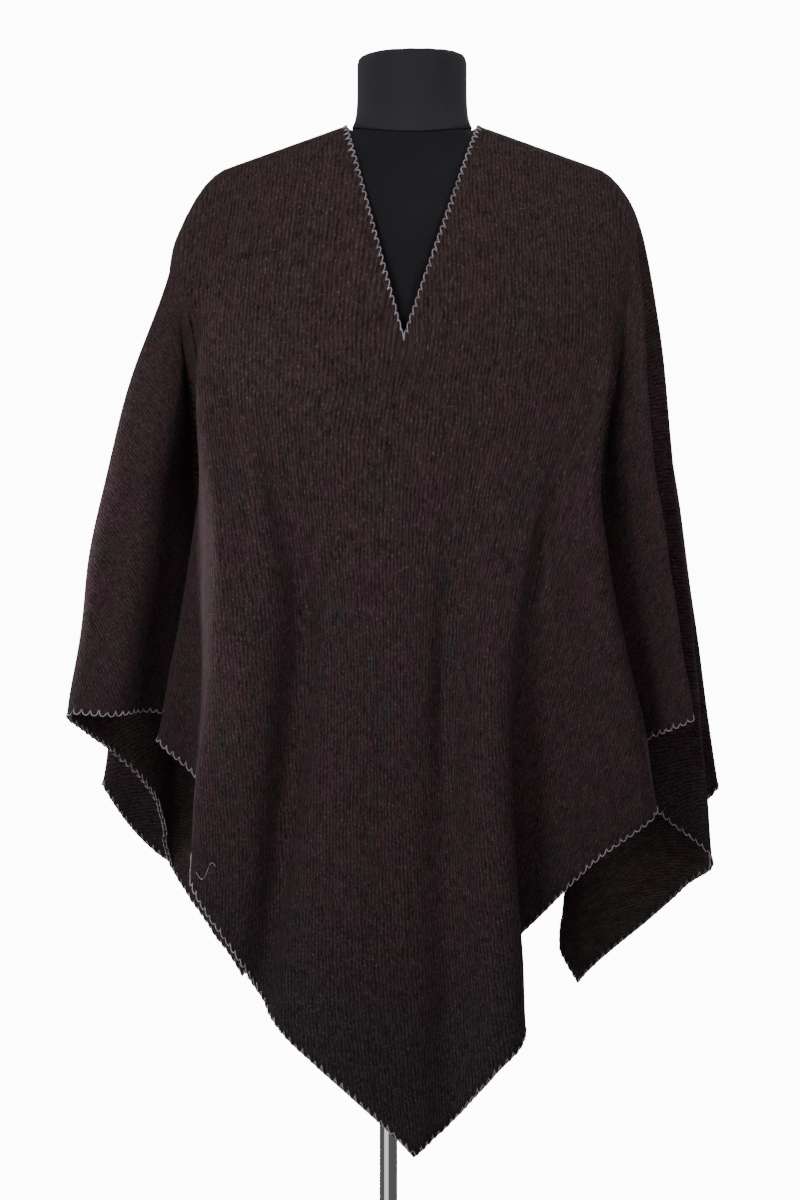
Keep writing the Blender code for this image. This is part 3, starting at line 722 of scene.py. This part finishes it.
def evened(points, flat):
    """Spread the flat places evenly over the surface between the neck and the hem, which stay put.

    The weave then runs on without a kink. Each row only meets its two neighbours, so the rows are
    solved one after another.
    """
    rows, count = points.shape[:2]
    a, d = points[:-1], points[1:]
    b, c = np.roll(a, -1, 1), np.roll(d, -1, 1)
    around = np.zeros((rows, count))
    around[:-1] += cotangent(c, a, b) + cotangent(d, a, b)
    around[1:] += cotangent(a, c, d) + cotangent(b, c, d)
    left = cotangent(c, a, d) + cotangent(b, a, d)
    right = cotangent(a, b, c) + cotangent(d, b, c)
    down = left + np.roll(right, 1, 1)
    slant = np.maximum(cotangent(b, a, c) + cotangent(d, a, c), 0)
    cross = np.maximum(cotangent(a, b, d) + cotangent(c, b, d), 0)
    around, down = np.maximum(around, 0.02), np.maximum(down, 0.02)
    i = np.arange(count)
    j = (i + 1) % count

    def below(row):
        link = np.zeros((count, count))
        link[i, i] += down[row]
        link[i, j] += slant[row]
        link[j, i] += cross[row]
        return link

    solved, carried = [], []
    for row in range(1, rows - 1):
        up, low = below(row - 1), below(row)
        block = np.diag(up.sum(0) + low.sum(1) + around[row] + np.roll(around[row], 1))
        block[i, j] -= around[row]
        block[j, i] -= around[row]
        right_side = np.zeros((count, 2))
        if row == 1:
            right_side += up.T @ flat[0]
        else:
            block -= up.T @ carried[-1]
            right_side += up.T @ solved[-1]
        if row == rows - 2:
            right_side += low @ flat[-1]
        answer = np.linalg.solve(block, np.concatenate([low, right_side], axis=1))
        carried.append(answer[:, :count])
        solved.append(answer[:, count:])
    even = flat.copy()
    even[-2] = solved[-1]
    for row in range(rows - 3, 0, -1):
        even[row] = solved[row - 1] + carried[row - 1] @ even[row + 1]
    return even


class Drape:
    """The cloth's middle surface, its flat cut and its normals, in rows from the neck to the hem."""

    def __init__(self, steps, yoke_rows, hang_rows):
        self.edge, bearing, mid, hem = fold_readings(steps)
        inner_across, inner_turn = neck_edge(bearing)
        outer_across, outer_turn = yoke_edge(bearing)
        rows, flat = [], []
        for share in np.arange(yoke_rows + 1) / yoke_rows:
            across = inner_across + (outer_across - inner_across) * share
            turn = inner_turn + (outer_turn - inner_turn) * share
            rows.append(yoke_surface(across, turn))
            flat.append(np.stack([across, profile_length(across, turn)], axis=-1))
        start = rows[-1]
        leave = start - yoke_surface(
            inner_across + (outer_across - inner_across) * 0.97,
            inner_turn + (outer_turn - inner_turn) * 0.97,
        )
        leave /= np.linalg.norm(leave, axis=1)[:, None]
        lines = np.array(hang(start, leave, mid, hem, hang_rows))
        pieces = np.linalg.norm(np.diff(np.concatenate([start[None], lines]), axis=0), axis=-1)
        gone = pieces.cumsum(0) / pieces.sum(0)
        hem_flat = cut_point(self.edge)
        yoke_flat = flat[-1]
        flat += [yoke_flat + (hem_flat - yoke_flat) * share[:, None] for share in gone]
        self.down = np.concatenate([
            np.linspace(-0.5, 0, yoke_rows + 1),
            np.arange(1, hang_rows + 1) / hang_rows,
        ])
        self.points = np.array(rows + list(lines))
        self.flat = evened(self.points, np.array(flat))
        self.crease()
        self.normals = normals_of(self.points)

    def crease(self):
        """Press the fine creases in, and the slow unevenness of heavy cloth."""
        normal = normals_of(self.points)
        down = self.down[:, None]
        push = np.zeros(self.points.shape[:2])
        for row in CREASES:
            middle = row.top + (row.low - row.top) * np.clip(down * 2, 0, 1)
            reach = (self.edge[None, :] - middle + 2 * CLOTH_SIDE) % (4 * CLOTH_SIDE) - 2 * CLOTH_SIDE
            bell = np.exp(-((reach / row.width) ** 2))
            into = eased((down - row.begin) / CREASE_EASE)
            out = eased((row.end + CREASE_TAIL - down) / CREASE_EASE)
            push += row.depth * bell * into * out
        u, v = self.flat[..., 0], self.flat[..., 1]
        slow = (
            np.sin(31 * u + 1.3) * np.sin(17 * v + 0.4) + 0.7 * np.sin(23 * u - 29 * v + 2.1)
            + 0.5 * np.sin(47 * u + 37 * v + 0.9)
        )
        push += UNEVENNESS * slow * np.clip(down + 0.15, 0, 1) ** 0.7
        # The edging draws the hem up a little between its stitches
        near_hem = np.clip((down - 1) / HEM_DRAWN + 1, 0, 1) ** 2
        push += UNEVENNESS * near_hem * np.sin(self.edge[None, :] * 2 * math.pi / HEM_RIPPLE)
        self.points = self.points + normal * push[..., None]


# Meshes

def add_piece(name, points, faces, materials, replaces=()):
    mesh = bpy.data.meshes.new(name)
    mesh.from_pydata(np.asarray(points, float).tolist(), [], faces)
    for finish in materials:
        mesh.materials.append(finish)
    mesh.shade_smooth()
    made = bpy.data.objects.new(name, mesh)
    bpy.context.scene.collection.objects.link(made)
    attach(made, BODY)
    if replaces:
        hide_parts(*replaces)
    return made


@functools.cache
def current_drape():
    return Drape(*FULL_MESH)


def tube(path, radius, sides, closed):
    """Points and faces of a thread that follows a path, with a frame carried along it."""
    path = np.asarray(path, float)
    count = len(path)
    if closed:
        ahead = np.roll(path, -1, 0) - np.roll(path, 1, 0)
    else:
        ahead = np.gradient(path, axis=0)
    ahead /= np.linalg.norm(ahead, axis=1)[:, None]
    up = np.where(np.abs(ahead[:, 2:3]) > 0.9, (1.0, 0, 0), (0, 0, 1.0))
    side = np.cross(ahead, up)
    side /= np.linalg.norm(side, axis=1)[:, None]
    top = np.cross(side, ahead)
    angle = turns(sides)
    ring = np.cos(angle)[None, :, None] * side[:, None] + np.sin(angle)[None, :, None] * top[:, None]
    points = (path[:, None] + radius * ring).reshape(-1, 3)
    faces = []
    last = count if closed else count - 1
    for i in range(last):
        a, b = i * sides, (i + 1) % count * sides
        for k in range(sides):
            n = (k + 1) % sides
            faces.append((a + k, b + k, b + n, a + n))
    if not closed:
        faces.append(tuple(range(sides)))
        faces.append(tuple(reversed(range((count - 1) * sides, count * sides))))
    return points, faces


class PONCHO_OT_cloth(bpy.types.Operator):
    """Build the wool cloth with its folds and creases"""
    bl_idname = "poncho.cloth"
    bl_label = "Wool Cloth"

    def execute(self, context):
        settings = context.scene.poncho_cloth
        drape = current_drape()
        middle, normal = drape.points, drape.normals
        rows, count = middle.shape[:2]
        half = settings.wall / 2
        outer, inner = middle + normal * half, middle - normal * half
        # Both cut edges are rounded by a row that stands out between the two faces
        neck_rim = middle[:1] + unit(middle[:1] - middle[1:2]) * half * 0.7
        hem_rim = middle[-1:] + unit(middle[-1:] - middle[-2:-1]) * half * 0.7
        loop = np.concatenate([neck_rim, outer, hem_rim, inner[::-1]])
        flat = drape.flat
        flat_loop = np.concatenate([flat[:1], flat, flat[-1:], flat[::-1]])
        total = len(loop)
        faces = []
        for row in range(total):
            below = (row + 1) % total
            for i in range(count):
                j = (i + 1) % count
                faces.append((row * count + i, below * count + i, below * count + j, row * count + j))
        cloth = add_piece(
            "wool_cloth", loop.reshape(-1, 3), faces,
            [wool_finish("wool_face", settings, False), wool_finish("wool_back", settings, True)],
            ["cloth"])
        mesh = cloth.data
        inside = np.zeros(total * count, np.int32)
        inside[(rows + 2) * count:-count] = 1
        mesh.polygons.foreach_set("material_index", inside)
        layer = mesh.uv_layers.new(name="cut")
        corners = np.empty(len(mesh.loops), np.int32)
        mesh.loops.foreach_get("vertex_index", corners)
        places = (flat_loop.reshape(-1, 2) / CLOTH_SIDE)[corners]
        layer.data.foreach_set("uv", places.ravel())
        return {"FINISHED"}


def unit(vectors):
    return vectors / np.linalg.norm(vectors, axis=-1, keepdims=True)


def along_line(points, *others, spacing):
    """Evenly spaced places on a closed line, with the other readings at them."""
    closed = np.concatenate([points, points[:1]])
    gone = np.concatenate([[0], np.linalg.norm(np.diff(closed, axis=0), axis=1).cumsum()])
    whole = gone[-1]
    count = max(3, round(whole / spacing))
    at = np.arange(count) / count * whole
    read = [closed] + [np.concatenate([other, other[:1]]) for other in others]
    return [np.stack([np.interp(at, gone, column) for column in part.T], 1) for part in read]


class PONCHO_OT_edging(bpy.types.Operator):
    """Sew the pale scalloped edging along the hem and the neck"""
    bl_idname = "poncho.edging"
    bl_label = "Edging"

    def execute(self, context):
        cloth, settings = context.scene.poncho_cloth, context.scene.poncho_edging
        drape = current_drape()
        finish = thread_finish("edging_thread", settings.colour)
        points, faces = [], []
        for rim, inward in ((0, 1), (-1, -2)):
            line = drape.points[rim]
            out, normal = unit(line - drape.points[inward]), drape.normals[rim]
            spacing = settings.pitch / STITCH_DOTS
            line, out, normal = along_line(line, out, normal, spacing=spacing)
            count = len(line) // STITCH_DOTS * STITCH_DOTS
            line, out, normal = line[:count], unit(out[:count]), unit(normal[:count])
            phase = (np.arange(count) % STITCH_DOTS) / STITCH_DOTS
            number = np.arange(count) // STITCH_DOTS
            uneven = 1 + 0.22 * np.sin(number * 2.4) + 0.16 * np.sin(number * 5.9 + 1)
            arch = np.sin(math.pi * phase) ** 0.5
            reach = settings.depth * uneven * (arch - 1) + settings.thread * 1.3
            lift = cloth.wall / 2 + settings.thread * 0.9
            for side in (1, -1):
                sink = np.where(phase == 0, 0.35, 1.0)
                over = np.where(arch > 0.985, 0.55, 1.0)
                path = line + out * reach[:, None] + normal * (side * lift * sink * over)[:, None]
                made, quads = tube(path, settings.thread, THREAD_SIDES, True)
                base = sum(len(p) for p in points)
                points.append(made)
                faces += [tuple(base + k for k in face) for face in quads]
        edging = add_piece("edging", np.concatenate(points), faces, [finish])
        tail = self.loose_end(drape, settings, finish)
        return {"FINISHED"}

    def loose_end(self, drape, settings, finish):
        """A loose end of the thread hangs on the left of the front."""
        far = np.linalg.norm(drape.points - LOOSE_END, axis=-1)
        row, column = np.unravel_index(far.argmin(), far.shape)
        start, normal = drape.points[row, column], drape.normals[row, column]
        side = unit(np.cross(normal, (0, 0, 1.0)))
        t = np.linspace(0, 1, 14)[:, None]
        path = (
            start + normal * (0.0022 + 0.0010 * np.sin(9 * t)) + side * (0.020 * t)
            + np.array((0, 0, 1.0)) * (0.006 * np.sin(7 * t) - 0.010 * t)
        )
        points, faces = tube(path, settings.thread * 0.6, THREAD_SIDES, False)
        return add_piece("loose_thread", points, faces, [finish])


class PONCHO_OT_nap(bpy.types.Operator):
    """Scatter loose fibres over both faces of the cloth"""
    bl_idname = "poncho.nap"
    bl_label = "Nap"

    def execute(self, context):
        cloth, settings = context.scene.poncho_cloth, context.scene.poncho_nap
        drape = current_drape()
        chance = np.random.default_rng(7)
        share = 1
        finish = fibre_finish("nap_fibre", settings.colour)
        points, faces = [], []
        for total, rings, longest, radius in (
            (settings.fibres, 3, settings.reach, settings.thickness),
            (settings.hairs, 6, settings.hair_reach, settings.thickness * 1.2),
        ):
            base = sum(len(part) for part in points)
            made, sides = self.scatter(
                drape, cloth.wall, chance, total // share, rings, longest, radius)
            points.append(made)
            faces += [tuple(base + k for k in face) for face in sides]
        add_piece("nap", np.concatenate(points), faces, [finish])
        return {"FINISHED"}

    def scatter(self, drape, wall, chance, total, rings, longest, radius):
        """Fibres that rise from the cloth and curl over it, as thin tubes of three sides."""
        a = drape.points[:-1]
        sides = np.roll(a, -1, 1) - a
        downs = drape.points[1:] - a
        area = np.linalg.norm(np.cross(sides, downs), axis=2)
        pick = chance.choice(area.size, total, p=(area / area.sum()).ravel())
        row, column = np.unravel_index(pick, area.shape)
        s, t = chance.random((total, 1)), chance.random((total, 1))
        root = a[row, column] + sides[row, column] * s + downs[row, column] * t
        normal = drape.normals[row, column] * np.where(chance.random(total) < 0.8, 1.0, -1.0)[:, None]
        root = root + normal * (wall / 2 - 0.0003)
        first = unit(np.cross(normal, (0.3, 0.2, 1.0)))
        second = np.cross(normal, first)
        heading = chance.random((total, 1)) * 2 * math.pi
        curl = (chance.random((total, 1)) - 0.5) * 3.2
        lift = 0.10 + 0.28 * chance.random((total, 1)) ** 2
        step = longest * (0.25 + 0.75 * chance.random((total, 1)) ** 2) / (rings - 1)
        path = [root]
        for ring in range(1, rings):
            along = ring / (rings - 1)
            turn = heading + curl * along
            lie = first * np.cos(turn) + second * np.sin(turn)
            path.append(path[-1] + step * (lie + normal * (lift * (1.6 - 1.7 * along))))
        cross = unit(np.cross(normal, path[1] - path[0]))
        angle = turns(3)
        ring = (
            np.cos(angle)[None, :, None] * normal[:, None]
            + np.sin(angle)[None, :, None] * cross[:, None])
        taper = np.linspace(1.0, 0.45, rings) * radius
        points = np.stack(path, 1)[:, :, None] + ring[:, None] * taper[None, :, None, None]
        base = np.arange(total)[:, None] * 3 * rings
        quads = [(k + 3 * r, k + 3 * r + 3, (k + 1) % 3 + 3 * r + 3, (k + 1) % 3 + 3 * r)
                 for r in range(rings - 1) for k in range(3)]
        ends = [(0, 1, 2), (3 * rings - 1, 3 * rings - 2, 3 * rings - 3)]
        faces = [tuple(face) for part in quads + ends for face in (base + np.array(part)).tolist()]
        return points.reshape(-1, 3), faces


def turns(sides):
    """The angles of a ring's points."""
    return 2 * math.pi * np.arange(sides) / sides


def oval(squareness=2.0):
    """Shares to the side and to the front of each point of a ring, starting in front."""
    s, c = np.sin(turns(FORM_SIDES)), np.cos(turns(FORM_SIDES))
    power = 2 / squareness
    return np.sign(s) * np.abs(s) ** power, np.sign(c) * np.abs(c) ** power


def torso_ring(section):
    side, front = oval(section.squareness)
    share = front**2
    depth = np.where(front >= 0, section.front_y, section.back_y)
    rise = np.where(front >= 0, section.front_z, section.back_z) - section.side_z
    return np.stack([section.side_x * side, -depth * front, section.side_z + rise * share], axis=-1)


def seat_ring(share, sink, wall):
    """A ring of the form just under the cloth, from the neck root at 0 to the shoulder tips at 1."""
    s, c = np.sin(turns(FORM_SIDES)), np.cos(turns(FORM_SIDES))
    round_power = 1 + (YOKE_SQUARENESS - 1) * share
    reach, front, back = (a + (b - a) * share for a, b in zip(SEAT_INNER, SEAT_OUTER))
    across = reach * np.sign(s) * np.abs(s) ** round_power
    turn = np.where(c >= 0, front, back) * np.sign(c) * np.abs(c) ** round_power
    step = 0.001
    here = yoke_surface(across, turn)
    over = yoke_surface(across, turn + step) - yoke_surface(across, turn - step)
    along = yoke_surface(across + step, turn) - yoke_surface(across - step, turn)
    outward = unit(np.cross(over, along))
    outward *= np.sign(outward[:, 2:3])
    under = wall / 2 + SEAT_GAP + sink + 0.006 * np.abs(c) * (0.4 + share)
    return here - outward * under[:, None]


def neck_ring(share, z, dip=0.0):
    """A ring of the neck, from its root at 0 to its round upper part at 1."""
    side, front = oval()
    half, forward, behind = (a + (NECK_RADIUS - a) * share for a in NECK_ROOT)
    depth = np.where(front >= 0, forward, behind)
    lower = np.where(front >= 0, NECK_DIP[0], NECK_DIP[1]) * front**2 * dip
    return np.stack([half * side, -depth * front, z - lower], axis=-1)


def smooth_rings(rings, steps):
    """More rings between the given ones, on open curves through them."""
    rings = np.asarray(rings, float)
    padded = np.concatenate([2 * rings[:1] - rings[1:2], rings, 2 * rings[-1:] - rings[-2:-1]])
    made = []
    for k in range(len(rings) - 1):
        made += [between(*padded[k:k + 4], t) for t in np.arange(steps) / steps]
    return made + [rings[-1]]


def cover(name, rings, finish, node):
    """A closed cover through rings, with a place on the cloth of it for each point."""
    rings = np.asarray(rings, float)
    levels, count = rings.shape[:2]
    last = (levels - 1) * count
    points = [*rings.reshape(-1, 3), rings[0].mean(0), rings[-1].mean(0)]
    faces = []
    for i in range(count):
        j = (i + 1) % count
        faces += [(row + i, row + j, row + count + j, row + count + i) for row in range(0, last, count)]
        faces.append((len(points) - 2, j, i))
        faces.append((len(points) - 1, last + i, last + j))
    made = add_piece(name, points, faces, [finish], [node])
    around = np.linalg.norm(np.diff(rings, axis=1, append=rings[:, :1]), axis=2)
    girth = around.sum(1).mean() / count
    rise = np.linalg.norm(np.diff(rings, axis=0), axis=2).mean(1)
    heights = np.concatenate([[0], rise.cumsum()])
    layer = made.data.uv_layers.new(name="cover")
    for polygon in made.data.polygons:
        columns = [made.data.loops[k].vertex_index % count for k in polygon.loop_indices]
        wraps = max(columns) - min(columns) > count / 2
        for k, column in zip(polygon.loop_indices, columns):
            vertex = made.data.loops[k].vertex_index
            u = column + (count if wraps and column < count / 2 else 0)
            layer.data[k].uv = (u * girth, heights[min(vertex // count, levels - 1)])
    return made


class PONCHO_OT_form(bpy.types.Operator):
    """Cover the torso and the neck of the form in black jersey"""
    bl_idname = "poncho.form"
    bl_label = "Dress Form"

    def execute(self, context):
        settings, wall = context.scene.poncho_form, context.scene.poncho_cloth.wall
        jersey = jersey_finish("black_jersey", settings, settings.jersey)
        worn = jersey_finish("neck_jersey", settings, settings.neck)
        lower = smooth_rings([torso_ring(section) for section in TORSO], 4)
        seat = [seat_ring(share, SEAM_TUCK if share == 0 else 0.0020 * share**8, wall)
                for share in np.linspace(1, 0, 20)]
        joint = smooth_rings([lower[-1], seat[0]], 4)[1:-1]
        root = [neck_ring(0, NECK_SEAM_Z, 1.0)]
        tuck = root[0].copy()
        tuck[:, :2] *= TUCKED
        root[0][:, 2] -= SEAM_TUCK
        cover("jersey_torso", lower + joint + seat + root + [tuck], jersey, "form_torso")

        foot = NECK_SEAM_Z + SEAT_GAP
        rise = NECK_TOP_Z - foot
        first = neck_ring(0, foot, 1.0)
        tucked = first.copy()
        tucked[:, :2] *= TUCKED
        first[:, 2] += SEAM_TUCK
        rings = [neck_ring(share, foot + rise * height, dip) for share, height, dip in (
            (0.03, 0.03, 0.98), (0.30, 0.07, 0.90), (0.55, 0.12, 0.80), (0.78, 0.20, 0.60),
            (0.9, 0.30, 0.4), (0.98, 0.42, 0.1), (1, 0.55, 0), (1, 0.72, 0), (1, 0.86, 0))]
        rings = [tucked, first] + smooth_rings(rings, 3)
        angle = turns(FORM_SIDES)
        gather = 0.0006 * np.sin(7 * angle + 0.6) + 0.0005 * np.sin(11 * angle)
        for inset, drop in ((0.0004, 0.0085), (0.0014, 0.0050), (0.0034, 0.0024), (0.0068, 0.0008),
                            (0.0120, 0.0001), (0.024, 0.0004), (0.040, 0.0010)):
            top = neck_ring(1, NECK_TOP_Z - drop)
            top[:, :2] *= (NECK_RADIUS - inset) / NECK_RADIUS
            share = min(1.0, inset / 0.012)
            top[:, 2] -= np.abs(gather) * share * (1 if inset < 0.03 else 0.4)
            rings.append(top)
        rings = np.array(rings)
        # The top of the neck is a little lower on the left
        high = np.clip((rings[..., 2] - 1.45) / 0.04, 0, 1)
        rings[..., 2] -= 0.0020 * high * np.clip(0.5 - rings[..., 0] / 0.11, 0, 1)
        cover("jersey_neck", rings, worn, "form_neck")
        return {"FINISHED"}


class PONCHO_OT_stand(bpy.types.Operator):
    """Finish the pole, its socket and the base"""
    bl_idname = "poncho.stand"
    bl_label = "Stand"

    def execute(self, context):
        settings = context.scene.poncho_stand
        chrome = chrome_finish("polished_chrome", settings.chrome)
        board = board_finish("black_board", settings.board)
        for node, finish in (("pole", chrome), ("base_hub", chrome), ("base_plate", chrome),
                             ("form_bottom", board), ("pole_socket", board)):
            piece = bpy.data.objects[node]
            for slot in piece.material_slots:
                slot.material = finish
        return {"FINISHED"}


class PONCHO_OT_stage(bpy.types.Operator):
    """Set up the paper floor and backdrop, the lights and the camera"""
    bl_idname = "poncho.stage"
    bl_label = "Stage"

    def execute(self, context):
        settings = context.scene.poncho_stage
        scene = context.scene
        paper = Finish("white_paper")
        grain = paper.noise(paper.node("ShaderNodeTexCoord", output=3), 40.0, 3.0, 0.6)
        paper.surface(
            Base_Color=paper.blend(grain, tuple(settings.paper), shaded(settings.paper, 0.97)),
            Roughness=0.9,
            Emission_Color=(1.0, 1.0, 1.0),
            Emission_Strength=settings.glow)
        # The paper lies round the part as a wide dish, so that every side is seen against white
        profile = [(1.0, 0.0)]
        for angle in np.linspace(0, math.pi / 2, DISH_STEPS + 1).tolist():
            profile.append((
                DISH_REACH + DISH_TURN * math.sin(angle), DISH_TURN * (1 - math.cos(angle))))
        profile.append((DISH_REACH + DISH_TURN, DISH_RISE))
        points = [(0.0, 0.0, -DISH_DROP)]
        for radius, z in profile:
            points += [(radius * math.cos(a), radius * math.sin(a), z - DISH_DROP)
                       for a in turns(DISH_SIDES).tolist()]
        faces = []
        for k in range(DISH_SIDES):
            j = (k + 1) % DISH_SIDES
            faces.append((0, 1 + k, 1 + j))
            for near in range(1, (len(profile) - 1) * DISH_SIDES, DISH_SIDES):
                far = near + DISH_SIDES
                faces.append((near + k, far + k, far + j, near + j))
        mesh = bpy.data.meshes.new("paper_sweep")
        mesh.from_pydata(points, [], faces)
        mesh.materials.append(paper.material)
        mesh.shade_smooth()
        sweep = bpy.data.objects.new("paper_sweep", mesh)
        scene.collection.objects.link(sweep)
        # The lit paper shows white to the camera and throws no light of its own on the part
        sweep.visible_diffuse = False
        sweep.visible_glossy = False

        world = bpy.data.worlds.new("studio")
        world.use_nodes = True
        sky = world.node_tree.nodes["Background"]
        sky.inputs["Color"].default_value = (1.0, 1.0, 1.0, 1)
        sky.inputs["Strength"].default_value = AIR_LIGHT * settings.light
        scene.world = world

        for lamp in LAMPS:
            data = bpy.data.lights.new(lamp.name, "AREA")
            data.energy = lamp.power * settings.light
            data.size = lamp.size
            data.spread = math.radians(lamp.spread)
            made = bpy.data.objects.new(lamp.name, data)
            made.location = lamp.place
            toward = np.array(lamp.aim, float) - np.array(lamp.place, float)
            made.rotation_euler = (
                math.acos(-toward[2] / np.linalg.norm(toward)), 0,
                math.atan2(toward[1], toward[0]) - math.pi / 2)
            scene.collection.objects.link(made)

        data = bpy.data.cameras.new("camera")
        data.lens = SENSOR * settings.distance * PIXELS_PER_METRE / PICTURE_PIXELS
        data.sensor_width = SENSOR
        camera = bpy.data.objects.new("camera", data)
        camera.location = (CAMERA_X, -settings.distance, settings.height)
        camera.rotation_euler = (math.pi / 2, 0, 0)
        scene.collection.objects.link(camera)
        scene.camera = camera
        return {"FINISHED"}


class PONCHO_PT_panel(bpy.types.Panel):
    """Operators and settings of the poncho"""
    bl_label = "Poncho"
    bl_idname = "PONCHO_PT_panel"
    bl_space_type = "VIEW_3D"
    bl_region_type = "UI"
    bl_category = "Poncho"

    def draw(self, context):
        for operator, group in STEPS:
            box = self.layout.box()
            box.operator(operator.bl_idname)
            settings = getattr(context.scene, group)
            for name in type(settings).__annotations__:
                box.prop(settings, name)


STEPS = (
    (PONCHO_OT_cloth, "poncho_cloth"),
    (PONCHO_OT_edging, "poncho_edging"),
    (PONCHO_OT_nap, "poncho_nap"),
    (PONCHO_OT_form, "poncho_form"),
    (PONCHO_OT_stand, "poncho_stand"),
    (PONCHO_OT_stage, "poncho_stage"),
)
GROUPS = (
    ("poncho_cloth", ClothSettings),
    ("poncho_edging", EdgingSettings),
    ("poncho_nap", NapSettings),
    ("poncho_form", FormSettings),
    ("poncho_stand", StandSettings),
    ("poncho_stage", StageSettings),
)


def register():
    for name, group in GROUPS:
        bpy.utils.register_class(group)
        setattr(bpy.types.Scene, name, bpy.props.PointerProperty(type=group))
    for operator, _ in STEPS:
        bpy.utils.register_class(operator)
    bpy.utils.register_class(PONCHO_PT_panel)


def unregister():
    bpy.utils.unregister_class(PONCHO_PT_panel)
    for operator, _ in reversed(STEPS):
        bpy.utils.unregister_class(operator)
    for name, group in reversed(GROUPS):
        delattr(bpy.types.Scene, name)
        bpy.utils.unregister_class(group)


def main():
    register()
    bpy.ops.poncho.cloth()
    bpy.ops.poncho.edging()
    bpy.ops.poncho.nap()
    bpy.ops.poncho.form()
    bpy.ops.poncho.stand()
    bpy.ops.poncho.stage()


if __name__ == "__main__":
    main()
